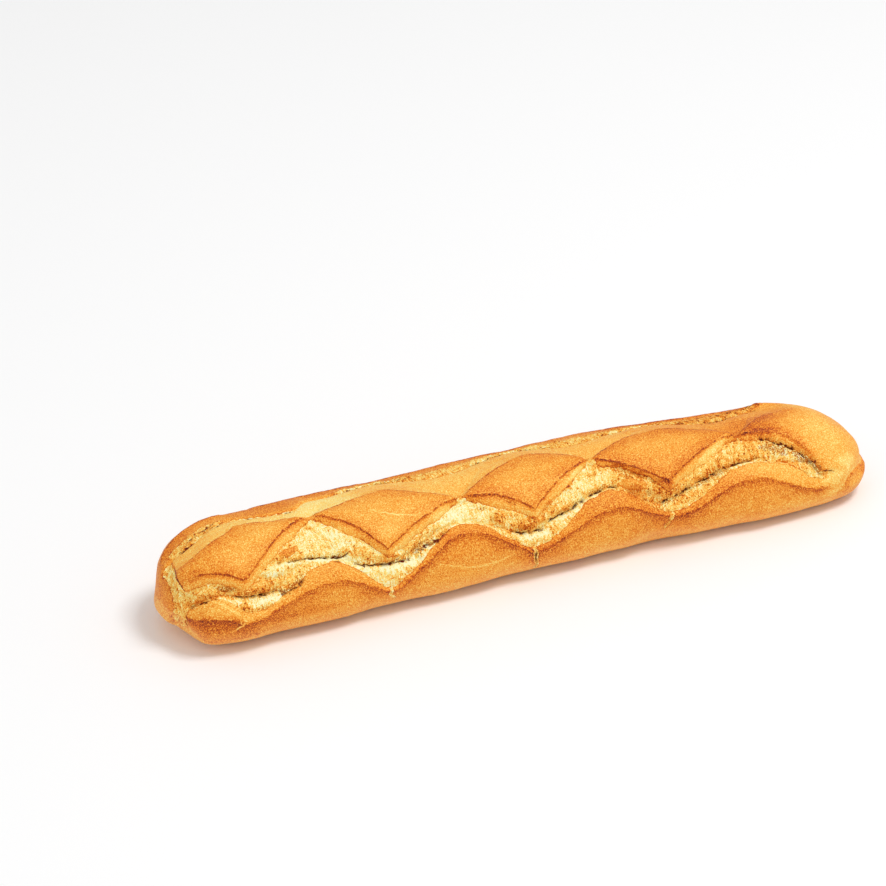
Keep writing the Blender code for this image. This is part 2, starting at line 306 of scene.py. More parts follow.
@dataclass(frozen=True)
class Lattice:
    """The lines of the scoring, as the angle of each line at a place along the loaf.

    Attributes:
        crossings: Where two cuts cross on the ridge, as (place, angle).
        gaps: Half the gap between the two diamonds at each crossing.
        near_tips: Lower tips of the diamonds, as (place, angle, power of the left edge, of the right).
        far_tips: Upper tips of the diamonds, in the same way.
        near_end: Where the first diamond's lower edge ends.
        far_end: Where its upper edge ends.
        near_tear: Zigzag of the tear on the near side.
        near_pale: Where the torn crumb ends and the lower cut face starts.
        near_crust: Edge of the side crust.
        far_tear: The same lines on the far side.
        far_pale: The same lines on the far side.
        far_crust: The same lines on the far side.
        crossing_reach: Distance from a crossing over which the cut faces narrow.
        face_turn: Width of a cut face in degrees, as (place, width).
        face_turn_at_crossing: The same at a crossing.
        least_gaps: Least degrees from the face's foot to the tear, and on to the next two lines.
        least_half_diamond: Least degrees from the middle of a diamond to its edge.
        side_end: Where the side turns into the base.
    """

    crossings: Pairs = ((-0.1325, 8.0), (-0.0435, 26.0), (0.041, 17.0), (0.1355, 18.0))
    gaps: tuple[float, ...] = (0.0046, 0.0034, 0.0030, 0.0030)
    near_tips: Tips = (
        (-0.183, 55.0, 2.3, 1.6),
        (-0.096, 58.0, 1.6, 1.6),
        (-0.003, 53.0, 2.2, 1.6),
        (0.082, 54.0, 1.4, 1.6),
        (0.180, 70.0, 4.0, 1.0),
    )
    far_tips: Tips = (
        (-0.176, -1.5, 0.8, 1.2),
        (-0.084, -3.5, 1.3, 1.2),
        (0.005, -5.0, 1.5, 2.0),
        (0.090, -4.0, 2.0, 1.8),
        (0.195, -13.0, 2.2, 1.0),
    )
    near_end: Pair = (-0.216, 36.0)
    far_end: Pair = (-0.208, 15.5)
    near_tear: Pairs = (
        (-0.216, 72.0), (-0.203, 63.0), (-0.172, 73.0), (-0.140, 48.0), (-0.098, 73.0), (-0.049, 47.0),
        (-0.006, 75.0), (0.048, 45.0), (0.076, 76.0), (0.137, 46.0), (0.172, 58.0), (0.190, 75.0),
    )
    near_pale: Pairs = (
        (-0.217, 80.0), (-0.203, 65.0), (-0.178, 86.5), (-0.130, 56.0), (-0.096, 92.0), (-0.047, 48.5),
        (-0.005, 89.0), (0.046, 49.0), (0.082, 86.0), (0.137, 50.5), (0.150, 50.0), (0.182, 82.0),
        (0.215, 88.0),
    )
    near_crust: Pairs = (
        (-0.217, 89.0), (-0.203, 86.0), (-0.183, 91.5), (-0.132, 75.5), (-0.096, 93.5), (-0.048, 60.0),
        (-0.004, 91.0), (0.045, 69.0), (0.086, 89.5), (0.134, 67.0), (0.181, 90.0), (0.215, 92.0),
    )
    far_tear: Pairs = (
        (-0.216, -12.0), (-0.205, -5.5), (-0.176, -19.5), (-0.157, -12.0), (-0.139, -8.0),
        (-0.122, -26.0), (-0.084, -34.0), (-0.045, -12.0), (0.006, -32.0), (0.041, -14.0),
        (0.090, -32.0), (0.131, -13.0), (0.168, -38.0), (0.215, -44.0),
    )
    far_pale: Pairs = (
        (-0.217, -22.0), (-0.205, -18.5), (-0.178, -24.0), (-0.157, -16.0), (-0.139, -12.0),
        (-0.122, -31.0), (-0.084, -44.0), (-0.045, -28.0), (0.006, -46.0), (0.041, -30.0),
        (0.090, -46.0), (0.131, -39.0), (0.165, -46.0), (0.215, -48.0),
    )
    far_crust: Pairs = (
        (-0.217, -34.0), (-0.190, -33.0), (-0.165, -37.0), (-0.139, -32.0), (-0.122, -40.0),
        (-0.084, -51.0), (-0.045, -40.0), (0.006, -52.0), (0.041, -42.0), (0.090, -51.0),
        (0.131, -45.0), (0.168, -51.0), (0.215, -54.0),
    )
    crossing_reach: float = 0.012
    face_turn: Pairs = (
        (-0.20, 10.5), (0.040, 10.5), (0.050, 2.8), (0.072, 2.8), (0.083, 10.5), (0.115, 10.5),
        (0.152, 6.5), (0.166, 9.0), (0.181, 3.5),
    )
    face_turn_at_crossing: float = 2.0
    least_gaps: tuple[float, ...] = (4.0, 3.5, 1.8)
    least_half_diamond: float = 1.6
    side_end: float = 128.0

    def edges(self, tips: Tips, first: Pair, level_at_tip: bool, place: np.ndarray) -> np.ndarray:
        """Edges of the diamonds on one side: each leg from a tip to a crossing is a power curve.

        Args:
            tips: Tips of the diamonds on that side.
            first: Where the first diamond's edge ends.
            level_at_tip: Whether a leg is level at its tip, and not at its crossing.
            place: Places along X.

        Returns:
            The edge's angle at each place.
        """
        edge = np.full_like(place, tips[-1][1])
        for leg, ends in ((2, (first,) + self.crossings), (3, self.crossings)):
            for tip, (end, low) in zip(tips, ends):
                way = (tip[0] - place) / (tip[0] - end)
                share = np.clip(way, 0.0, 1.0)
                rise = 1.0 - share ** tip[leg] if level_at_tip else (1.0 - share) ** tip[leg]
                edge = np.where(way == share, low + (tip[1] - low) * rise, edge)
        return np.where(place < first[0], first[1], edge)

    def gap_share(self, place: np.ndarray) -> np.ndarray:
        """1 where a cut passes right over the ridge, a third where a diamond's tip starts."""
        return sum(bell(place - cross[0], gap) for cross, gap in zip(self.crossings, self.gaps))

    def lines(self, place: np.ndarray) -> list[np.ndarray]:
        """All lines that the columns follow, each a little ragged.

        Args:
            place: Places along X.

        Returns:
            Fourteen arrays of angles, from the far base over the top to the near base.
        """
        near = self.edges(self.near_tips, self.near_end, False, place)
        far = self.edges(self.far_tips, self.far_end, True, place)
        middle = (near + far) / 2
        near = np.maximum(near + ragged(place, 11, 0.8), middle + self.least_half_diamond)
        far = np.minimum(far + ragged(place, 12, 0.7), middle - self.least_half_diamond)
        turn = wave_line(self.face_turn, place)
        close = sum(bell(place - cross[0], self.crossing_reach) for cross in self.crossings)
        turn += (self.face_turn_at_crossing - turn) * np.clip(close, 0.0, 1.0)
        near_rows = ((self.near_tear, 0, 0.0), (self.near_pale, 14, 2.4), (self.near_crust, 15, 0.7))
        far_rows = ((self.far_tear, 0, 0.0), (self.far_pale, 17, 2.2), (self.far_crust, 18, 0.7))
        starts = ((-1.0, far, 16, 1.8, far_rows), (1.0, near, 13, 2.2, near_rows))
        sides = []
        for sign, edge, seed, swing, rows in starts:
            side = [edge, edge + sign * turn + ragged(place, seed, swing)]
            for (points, line_seed, line_swing), gap in zip(rows, self.least_gaps):
                line = wave_line(points, place) + ragged(place, line_seed, line_swing)
                side.append(sign * np.maximum(sign * line, sign * side[-1] + gap))
            sides.append(side + [np.full_like(place, sign * angle) for angle in (self.side_end, 180.0)])
        return sides[0][::-1] + sides[1]


def ragged(place: np.ndarray, seed: int, height: float) -> np.ndarray:
    """Small unevenness of a cut's line, at most about so many degrees high."""
    where = np.stack([place / 0.007, 0.0 * place + 0.37, 0.0 * place + 0.71], axis=-1)
    return Noise(seed).layered(where, 4) * height


class Run(Enum):
    """Which way a crack runs."""

    ALONG = "along the loaf"
    AROUND = "round the section"


@dataclass(frozen=True)
class Line:
    """A line on the skin, bowed between its two ends.

    Attributes:
        start: (place, angle) of one end.
        end: (place, angle) of the other.
        bow: How far its middle stands off the straight line: degrees along the loaf, else metres.
        run: Which way it runs.
        half_width: Half its width at the middle.
    """

    start: Pair
    end: Pair
    bow: float = 0.0
    run: Run = Run.ALONG
    half_width: float = 0.0008

    def across(self, place: np.ndarray, angles: np.ndarray) -> tuple[np.ndarray, np.ndarray]:
        """Distance from the line, a parabola between its ends.

        Args:
            place: Place of each point.
            angles: Angle of each point.

        Returns:
            (signed distance across it, strength along it: 1 in the middle and 0 past the ends).
        """
        (x0, a0), (x1, a1) = self.start, self.end
        scale = METRES_PER_DEGREE
        ways = [(place, x0, x1), (angles * scale, a0 * scale, a1 * scale)]
        bow = self.bow * 4 * (scale if self.run is Run.ALONG else 1.0)
        (here, start, end), (side, low, high) = ways if self.run is Run.ALONG else ways[::-1]
        way = (here - start) / (end - start)
        share = np.clip(way, 0.0, 1.0)
        middle = low + (high - low) * share + bow * share * (1 - share)
        slope = (high - low + bow * (1 - 2 * share)) / (end - start)
        beyond = np.abs(way - share) * abs(end - start)
        strength = (0.3 + 0.7 * np.sin(np.pi * share) ** 0.5) * bell(beyond, self.half_width)
        return (side - middle) / np.sqrt(1 + slope ** 2), strength


@dataclass(frozen=True)
class Crack(Line):
    """A narrow tear in the skin.

    Attributes:
        depth: Depth at the middle.
        dark: How dark the painted shade on its floor is, from 0 to 1.
        margin: Width of the pale edge beside it, where it runs through crust.
        overhang: How far its upper lip leans over it.
        ledge: How pale the crumb just below it is, from 0 to 1.
        shade: How brown the crumb on its lip is, painted shade under the overhang, from 0 to 1.
        shade_and_flecks_above: Stipple of painted shade, with brown flecks, in the crumb just above it, from
            0 to 1.
        shade_and_flecks_below: The same just below it.
    """

    depth: float = 0.0024
    dark: float = 1.0
    margin: float = 0.0
    overhang: float = 0.0003
    ledge: float = 0.6
    shade: float = 0.5
    shade_and_flecks_above: float = 0.5
    shade_and_flecks_below: float = 0.0


@dataclass(frozen=True)
class Hairline(Line):
    """A fine pale or brown line in the crust.

    Attributes:
        browning: Bake level that it adds, negative for a pale line.
    """

    browning: float = -0.20


@dataclass(frozen=True)
class Patch:
    """A lump, a pit or a browner spot with a ragged oval outline.

    Attributes:
        place: Place along X.
        angle: Angle round the section.
        along: Half its length along the loaf.
        around: Half its length round the section.
        height: Height in the middle, negative for a pit.
        browning: How much browner it is than what is round it, negative for paler.
        dark: Painted shade stipple in its middle, as in a pit or under an overhang, from 0 to 1.
        turn: Degrees that it is turned, positive from +X towards the base.
        crust: How far smooth crust covers the crumb there, from 0 to 1.
    """

    place: float
    angle: float
    along: float
    around: float
    height: float = 0.0
    browning: float = 0.0
    dark: float = 0.0
    turn: float = 0.0
    crust: float = 0.0

    def radius(self, place: np.ndarray, angles: np.ndarray) -> np.ndarray:
        """Distance from its middle, 1 on its rim.

        Args:
            place: Place of each point.
            angles: Angle of each point.

        Returns:
            An array of distances.
        """
        cosine, sine = np.cos(np.radians(self.turn)), np.sin(np.radians(self.turn))
        east = place - self.place
        south = (angles - self.angle) * METRES_PER_DEGREE
        along, around = east * cosine + south * sine, south * cosine - east * sine
        return np.hypot(along / self.along, around / self.around)


CRACKS = (
    Crack((-0.216, 76.0), (-0.2, 66.0), -2.0, half_width=0.0009),
    Crack((-0.19, 68.0), (-0.156, 73.0), 2.6, half_width=0.001, ledge=0.8, shade_and_flecks_above=0.7),
    Crack((-0.163, 76.5), (-0.148, 67.0), 3.0, half_width=0.0012, dark=0.8, ledge=0.3, shade_and_flecks_above=1.0),
    Crack((-0.161, 42.5), (-0.145, 46.0), 0.5, dark=0.45, ledge=1.0, shade_and_flecks_above=0.3),
    Crack((-0.146, 45.5), (-0.129, 50.0), ledge=0.8),
    Crack((-0.129, 50.5), (-0.118, 51.5), 2.5, half_width=0.001),
    Crack((-0.117, 64.5), (-0.079, 71.5), 6.0, half_width=0.0009, ledge=1.0, shade_and_flecks_above=0.7),
    Crack((-0.083, 70.5), (-0.064, 61.0), -1.0, half_width=0.0014, dark=1.5, ledge=0.6, shade_and_flecks_above=0.8),
    Crack((-0.066, 60.0), (-0.053, 50.5), dark=0.6, depth=0.0015, ledge=0.2),
    Crack((-0.019, 72.0), (0.004, 74.5), 3.2, half_width=0.0009, dark=0.8, ledge=1.0, shade_and_flecks_above=0.6),
    Crack((0.004, 69.5), (0.03, 53.5), half_width=0.0009, dark=0.8, ledge=0.6, shade_and_flecks_above=0.6),
    Crack((0.028, 53.0), (0.052, 46.0), -1.5, half_width=0.001, dark=0.8, ledge=0.4),
    Crack((0.074, 78.0), (0.1, 62.0), 0.5, half_width=0.0009, dark=0.9, ledge=0.3, shade_and_flecks_below=0.6),
    Crack((0.098, 63.0), (0.124, 48.5), -1.0, half_width=0.0012, dark=0.9, ledge=0.3, shade=0.9,
          shade_and_flecks_below=0.7),
    Crack((0.122, 49.0), (0.145, 44.5), -0.5, half_width=0.001, depth=0.0014, dark=0.6, shade_and_flecks_above=0.7),
    Crack((0.147, 22.5), (0.181, 71.0), -10.7, half_width=0.0008, dark=0.9, ledge=0.0, shade_and_flecks_above=0.0,
          shade_and_flecks_below=0.8),
    Crack((0.181, 71.0), (0.19, 76.5), half_width=0.0006, depth=0.0004, dark=0.8, ledge=0.0, shade_and_flecks_above=0.0),
    Crack((-0.096, 93.0), (-0.097, 99.0), 0.0, Run.AROUND, 0.0007, 0.0014, 0.5, 0.0008, ledge=0.0,
          shade_and_flecks_above=0.0),
    Crack((-0.097, 98.0), (-0.0945, 106.0), 0.0, Run.AROUND, 0.0006, 0.0012, 0.5, 0.0006, ledge=0.0,
          shade_and_flecks_above=0.0),
    Crack((-0.0065, 89.0), (-0.0052, 124.0), 0.0009, Run.AROUND, 0.0008, 0.0018, 0.6, 0.001, ledge=0.0,
          shade_and_flecks_above=0.0),
    Crack((0.082, 86.0), (0.077, 103.0), 0.0, Run.AROUND, 0.0006, 0.0012, 0.25, 0.0009, ledge=0.0,
          shade_and_flecks_above=0.0),
    Crack((-0.214, -13.0), (-0.2, -6.0), 2.5, half_width=0.0006, depth=0.0008, ledge=0.0, overhang=0.0),
    Crack((-0.2, -6.0), (-0.175, -19.5), 1.5, half_width=0.0007, depth=0.001, ledge=0.3, overhang=0.0),
    Crack((-0.206, -12.0), (-0.177, -23.0), 1.0, half_width=0.0007, depth=0.0008, dark=0.8, ledge=0.0,
          overhang=0.0),
    Crack((-0.174, -19.5), (-0.135, -7.0), 2.0, half_width=0.0005, depth=0.0006, dark=0.6,
          margin=0.0005, overhang=0.0),
    Crack((-0.112, -26.0), (-0.058, -28.0), -9.0, dark=0.9, overhang=0.0),
    Crack((-0.022, -22.0), (0.03, -24.0), -11.0, dark=0.9, overhang=0.0),
    Crack((0.062, -22.0), (0.116, -24.0), -10.0, dark=0.9, overhang=0.0),
    Crack((0.124, -13.0), (0.166, -37.0), 4.0, dark=0.9, overhang=0.0),
    Crack((-0.085, -51.5), (-0.0865, -66.0), 0.0, Run.AROUND, 0.0007, 0.0014, 0.5, 0.0008, ledge=0.0),
    Crack((0.006, -52.5), (0.0075, -74.0), 0.0008, Run.AROUND, 0.0007, 0.0014, 0.5, 0.0008, ledge=0.0),
    Crack((0.09, -51.5), (0.0925, -64.0), 0.0, Run.AROUND, 0.0006, 0.0012, 0.5, 0.0006, ledge=0.0),
    Crack((0.146, -39.5), (0.182, -46.0), -1.0, depth=0.0006, overhang=0.0, ledge=0.0),
)

HAIRLINES = (
    Hairline((-0.099, 16.0), (-0.071, 34.0), 2.5, browning=-0.22),
    Hairline((-0.203, 67.0), (-0.185, 90.0), half_width=0.0014, browning=-0.16),
    Hairline((-0.067, 83.0), (-0.016, 89.0), 6.0, browning=-0.16),
    Hairline((-0.1855, 89.5), (-0.193, 97.5), half_width=0.0009, browning=-0.38),
    Hairline((-0.158, 50.0), (-0.148, 63.0), 0.5, browning=-0.3),
    Hairline((-0.2148, -12.0), (-0.2155, 58.0), 0.0, Run.AROUND, half_width=0.0008, browning=0.38),
    Hairline((0.077, 66.0), (0.106, 44.0), 1.5, browning=0.14),
    Hairline((0.005, 50.0), (0.038, 20.0), 1.5, browning=0.14),
    # A painted shadow line under the lip of the fourth diamond's right tip.
    Hairline((0.118, 2.5), (0.131, 18.0), -5.0, browning=0.22),
    Hairline((-0.06, -64.0), (-0.01, -76.0), -6.0, browning=-0.16),
    Hairline((0.108, -72.0), (0.15, -66.0), 4.0, browning=-0.14),
    Hairline((-0.175, -52.0), (-0.14, -66.0), -3.0, browning=0.16),
)

PATCHES = tuple(Patch(*row) for row in (
    (-0.17, 64.5, 0.017, 0.0045, 0.0014, 0.04),
    (-0.164, 51.5, 0.0078, 0.0044, 0.0015, -0.26),
    (-0.1945, 57.0, 0.007, 0.0026, -0.0018, 0.05, 0.75, 21.0),
    (-0.207, 59.0, 0.006, 0.0044, 0.0009, -0.02),
    (-0.152, 36.0, 0.0066, 0.0028, 0.0008, 0.1, 0.0, -8.0, 0.8),
    (-0.157, 40.5, 0.004, 0.0012, -0.0008, 0.1, 0.35),
    (-0.135, 17.0, 0.0026, 0.0024, 0.0, 0.15),
    (-0.1395, 46.5, 0.0017, 0.0013, -0.002, 0.0, 0.95),
    (-0.123, 52.5, 0.0034, 0.0017, -0.0018, 0.0, 0.85),
    (-0.121, 36.0, 0.005, 0.008, 0.0002, -0.12),
    (-0.1245, 57.5, 0.0035, 0.0014, 0.0006, 0.3),
    (-0.11, 56.0, 0.01, 0.0036, 0.0008, 0.18, 0.0, 35.0),
    (-0.095, 66.5, 0.008, 0.0026, 0.0009, 0.2),
    (-0.072, 54.0, 0.015, 0.0038, 0.0006, 0.15, 0.0, -28.0),
    (-0.0695, 64.0, 0.002, 0.0014, -0.0016, 0.1, 0.9),
    (-0.062, 57.5, 0.007, 0.0018, 0.0006, 0.26, 0.0, -34.0),
    (-0.0235, 53.0, 0.005, 0.0058, 0.001, 0.22),
    (-0.029, 53.0, 0.0012, 0.003, -0.0012, 0.1, 0.45),
    (-0.006, 65.0, 0.01, 0.0044, 0.0012, 0.24),
    (-0.012, 70.0, 0.006, 0.0014, -0.0012, 0.1, 0.4),
    (-0.019, 69.5, 0.0026, 0.0018, 0.0006, 0.34),
    (-0.033, 38.0, 0.004, 0.0012, -0.0008, 0.1, 0.5, 20.0),
    (-0.016, 42.0, 0.0045, 0.001, -0.0008, 0.1, 0.55, 25.0),
    (0.022, 38.5, 0.0017, 0.0017, 0.0006, 0.3),
    (0.006, 56.0, 0.006, 0.0052, 0.0004, 0.14, 0.0, -35.0),
    (0.061, 48.5, 0.0092, 0.0042, 0.0014, 0.02, 0.0, 24.0, 1.0),
    (0.0615, 57.0, 0.005, 0.006, -0.001, 0.12, 0.0, 40.0),
    (0.07, 63.0, 0.0026, 0.0034, -0.0016, 0.12, 0.55),
    (0.066, 69.0, 0.002, 0.0012, -0.0008, 0.0, 0.45),
    (0.065, 39.0, 0.006, 0.0016, -0.0008, 0.1, 0.4, 40.0),
    (0.079, 60.0, 0.007, 0.006, 0.0006, 0.18),
    (0.076, 51.0, 0.005, 0.0008, -0.0008, 0.1, 0.6, 15.0),
    (0.14, 40.0, 0.008, 0.006, 0.0003, 0.05),
    (0.15, 46.0, 0.014, 0.0028, -0.0006, -0.14, 0.15),
    (0.164, 60.0, 0.011, 0.0026, 0.0, 0.14, 0.0, 40.0),
    (0.152, 8.0, 0.022, 0.012, 0.0, 0.07, 0.0, -15.0),
    # Painted shade stipple in the crumb under the right diamond's overhanging edge.
    (0.157, 38.0, 0.0125, 0.005, 0.0, -0.1, 0.8, 27.0),
    (0.171, 53.0, 0.0105, 0.0042, 0.0, -0.08, 0.8, 48.0),
    (0.152, 18.5, 0.01, 0.0028, 0.0, 0.06, 0.0, 5.0),
    (0.167, 35.0, 0.011, 0.0028, 0.0, 0.06, 0.0, 50.0),
    (0.0575, 33.0, 0.01, 0.003, 0.0, 0.06, 0.45, 52.0),
    (0.2, 66.0, 0.009, 0.0075, 0.0, -0.13),
    # Painted highlight on the fold beside the third diamond's right edge, near its tip.
    (0.03, 25.0, 0.009, 0.0018, 0.0002, -0.18, 0.0, -29.0),
    (0.209, 96.0, 0.007, 0.008, 0.0, -0.1),
    (0.115, 42.0, 0.018, 0.005, 0.0, -0.07, 0.0, -28.0),
    (0.132, 80.0, 0.014, 0.007, 0.0, 0.02),
    (-0.2, 102.0, 0.023, 0.013, 0.0, 0.13),
    (-0.172, 80.0, 0.011, 0.0024, 0.0, -0.28),
    (-0.17, -38.0, 0.017, 0.0024, -0.0007, 0.05),
    (-0.056, 36.0, 0.009, 0.005, 0.0, -0.1),
    (0.014, 34.0, 0.012, 0.003, 0.0, -0.06, 0.0, -29.0),
    (-0.0755, 70.5, 0.0045, 0.002, 0.0008, 0.26, 0.0, -25.0),
    (-0.15, 95.0, 0.024, 0.0032, 0.0, 0.08),
    (-0.025, 80.0, 0.012, 0.005, 0.0, 0.05),
    # Painted highlights on the folds beside the fourth diamond's right edge and the fifth's left edge.
    (0.118, 27.0, 0.017, 0.002, 0.0002, -0.16, 0.0, -30.0),
    (0.163, 27.0, 0.013, 0.0026, 0.0, -0.03, 0.0, 42.0),
    (0.204, 74.0, 0.011, 0.008, 0.0, -0.05),
    (0.172, 99.0, 0.022, 0.006, 0.0, -0.06),
    (-0.217, 125.0, 0.0016, 0.009, 0.0, 0.12, 0.5),
    (0.187, 81.0, 0.009, 0.006, 0.0, -0.14),
    # Painted highlight on the pale band below the first tear.
    (-0.192, 71.5, 0.0105, 0.0016, 0.0, -0.2, 0.0, 27.0),
    (0.041, 85.0, 0.0008, 0.0008, -0.0003, 0.4),
))


@dataclass(frozen=True)
class Relief:
    """Heights of the scoring above the plain body.

    Attributes:
        dome: Rise of a diamond's middle above its edges.
        edge: Height of a diamond's edge.
        step: Sharp drop just outside that edge.
        step_width: Width of that drop.
        fold: Rise of a cut face's middle.
        face_foot: Height at the foot of the upper cut face.
        valley: Height along the tear.
        pale_foot: Height where the torn crumb ends.
        crust: Height of the side crust's edge.
        saddle: Height of a ridge crossing.
        under_edge: Hollow below the side crust's edge.
        under_edge_turn: Where that hollow is deepest, in degrees below the edge.
        far_depth_share: Depth of the far side's hollows, as a share of the near side's.
        narrow_fill: Rise of a lower cut face where it is narrow.
        narrow_turns: Widths in degrees at which that rise is full, and gone.
    """

    dome: float = 0.0010
    edge: float = 0.0012
    step: float = 0.0011
    step_width: float = 0.0009
    fold: float = 0.0007
    face_foot: float = -0.0026
    valley: float = -0.0056
    pale_foot: float = -0.0026
    crust: float = 0.0010
    saddle: float = -0.0014
    under_edge: float = -0.0006
    under_edge_turn: float = 9.0
    far_depth_share: float = 0.5
    narrow_fill: float = 0.0016
    narrow_turns: Pair = (2.0, 14.0)

    def profile(self, off: np.ndarray, past_edge: np.ndarray) -> np.ndarray:
        """Height across the scoring, the same on both sides.

        Args:
            off: Position off the middle of a diamond: 0.5 at its edge, 1.5 at the foot of the
                cut face, 2.5 at the tear, 3.5 where the torn crumb ends and 4.5 at the crust.
            past_edge: Distance outside the diamond's edge.

        Returns:
            Heights. The diamond is a parabola, its edge a sharp step, the cut face a flat fold.
            The crumb drops ever more steeply to the tear, and rises from it ever more gently.
        """
        top = self.edge + self.dome * (1.0 - (2.0 * np.clip(off, 0.0, 0.5)) ** 2)
        face = np.clip(off - 0.5, 0.0, 1.0)
        upper = np.clip(off - 1.5, 0.0, 1.0)
        lower = np.clip(off - 2.5, 0.0, 1.0)
        rising = np.clip(off - 3.5, 0.0, 1.0)
        side = np.clip(off - 4.5, 0.0, 1.0)
        drop = self.step * ease(0.0, self.step_width, past_edge) * (1.0 - face)
        height = top - drop + self.fold * np.sin(np.pi * face) + (self.face_foot - self.edge) * face ** 1.3
        height += (self.valley - self.face_foot) * (0.5 * upper + 0.5 * upper ** 4)
        height += (self.pale_foot - self.valley) * (1.0 - (1.0 - lower) ** 1.7)
        height += (self.crust - self.pale_foot) * rising ** 1.1
        return height - self.crust * side


# Some of these levels paint shade, a cast shadow and highlights as well as bake; the entries say which.
@dataclass(frozen=True)
class Browning:
    """How far each part of the skin is baked, from 0 for pale crumb to 1 for near black.

    Attributes:
        panel: Diamonds, as (place, level).
        crumb: Torn crumb on the near side, as (place, level).
        lower_face: Lower cut faces, as (place, level).
        far_band: Smooth band between a diamond's far edge and the far tear, as (place, level), with painted
            shadow.
        far_lower_face: Lower cut faces on the far side.
        far_crumb: Torn crumb on the far side, as (place, level), browner from 0.10 on partly as painted
            shadow.
        end_cut: Crumb in the cut round the left end, on top and on the side.
        near_face: Upper cut faces on the near side.
        face_turn: How much browner the cut faces that face -X are, painted shade as if lit from +X.
        fold: How much paler the middle of a cut face is than its two edges, a painted highlight along the
            fold.
        edge: Extra browning of a diamond's last millimetres.
        groove: Extra darkening of a cut face just under a diamond's edge, painted shade in the groove there.
        under_edge: Extra browning of the side crust just below its edge, partly bake, partly painted shade.
        side: Side crust.
        far_side: Side crust on the far side.
        base: Underside.
        ends: Extra browning of the uncut ends.
        edge_reach: Distance over which a diamond's edge browns.
        groove_place: Distance of the groove's middle outside that edge.
        groove_reach: Its reach.
        under_edge_reaches: How the browning below the side crust's edge fades, as (share, reach).
        side_fading: How much paler the near side gets towards the base.
        face_foot: Extra browning of a lower cut face's foot.
        below_crease: Extra browning below the right end's crease.
        below_crease_reach: Its reach.
        crease_line: How much paler the line on that crease is.
        uneven: Swing of the level from spot to spot.
        crag: Browning for each metre of crag, and paling for each metre of hollow.
    """

    panel: Pairs = (
        (-0.20, 0.50), (-0.16, 0.455), (-0.09, 0.46), (0.0, 0.50), (0.085, 0.53), (0.155, 0.555),
        (0.19, 0.44), (0.21, 0.49),
    )
    crumb: Pairs = (
        (-0.21, 0.38), (-0.175, 0.37), (-0.145, 0.20), (-0.128, 0.11), (-0.095, 0.19), (-0.050, 0.05),
        (-0.015, 0.28), (0.030, 0.16), (0.065, 0.36), (0.12, 0.32), (0.155, 0.33), (0.185, 0.28),
    )
    lower_face: Pairs = (
        (-0.20, 0.48), (-0.135, 0.50), (-0.05, 0.55), (-0.025, 0.61), (0.02, 0.56), (0.10, 0.60),
        (0.158, 0.44),
    )
    # Levels from -0.092 on are partly bake and partly a painted cast shadow.
    far_band: Pairs = (
        (-0.212, 0.44), (-0.175, 0.38), (-0.131, 0.24), (-0.112, 0.28), (-0.092, 0.43), (-0.0435, 0.42),
        (0.005, 0.46), (0.041, 0.43), (0.090, 0.50), (0.1355, 0.56), (0.18, 0.55),
    )
    far_lower_face: float = 0.60
    # Levels from 0.10 on are partly bake and partly a painted cast shadow.
    far_crumb: Pairs = (
        (-0.2, 0.36), (-0.138, 0.22), (-0.09, 0.34), (0.06, 0.36), (0.10, 0.46), (0.17, 0.50)
    )
    end_cut: Pair = (0.29, 0.37)
    near_face: float = 0.49
    face_turn: float = 0.03
    fold: float = 0.06
    edge: float = 0.11
    groove: float = 0.11
    under_edge: float = 0.20
    side: float = 0.52
    far_side: float = 0.55
    base: float = 0.52
    ends: float = 0.11
    edge_reach: float = 0.0065
    groove_place: float = 0.0014
    groove_reach: float = 0.0016
    under_edge_reaches: Pairs = ((0.6, 0.0035), (0.4, 0.011))
    side_fading: float = 0.02
    face_foot: float = 0.07
    below_crease: float = 0.16
    below_crease_reach: float = 0.012
    crease_line: float = 0.16
    uneven: float = 0.05
    crag: Pair = (170.0, 40.0)


class Nearest:
    """The nearest of several lines at each point, as a distance that a material can draw sharply."""

    def __init__(self, shape: tuple[int, ...]) -> None:
        """Starts with no line near any point.

        Args:
            shape: Rows and columns.
        """
        self.distance = np.full(shape, 9.0)
        self.strength = np.zeros(shape)

    def add(self, across: np.ndarray, half_width: float, strength: np.ndarray) -> None:
        """Keeps a line where it is nearer than those before it.

        Args:
            across: Signed distance from the line.
            half_width: Half its width.
            strength: How strong it is at each point.
        """
        distance = np.clip(across / half_width, -9.0, 9.0)
        closer = (np.abs(distance) < np.abs(self.distance)) & (np.abs(strength) > 0.02)
        self.distance = np.where(closer, distance, self.distance)
        self.strength = np.where(closer, strength * (1.0 - ease(3.5, 5.5, np.abs(distance))), self.strength)


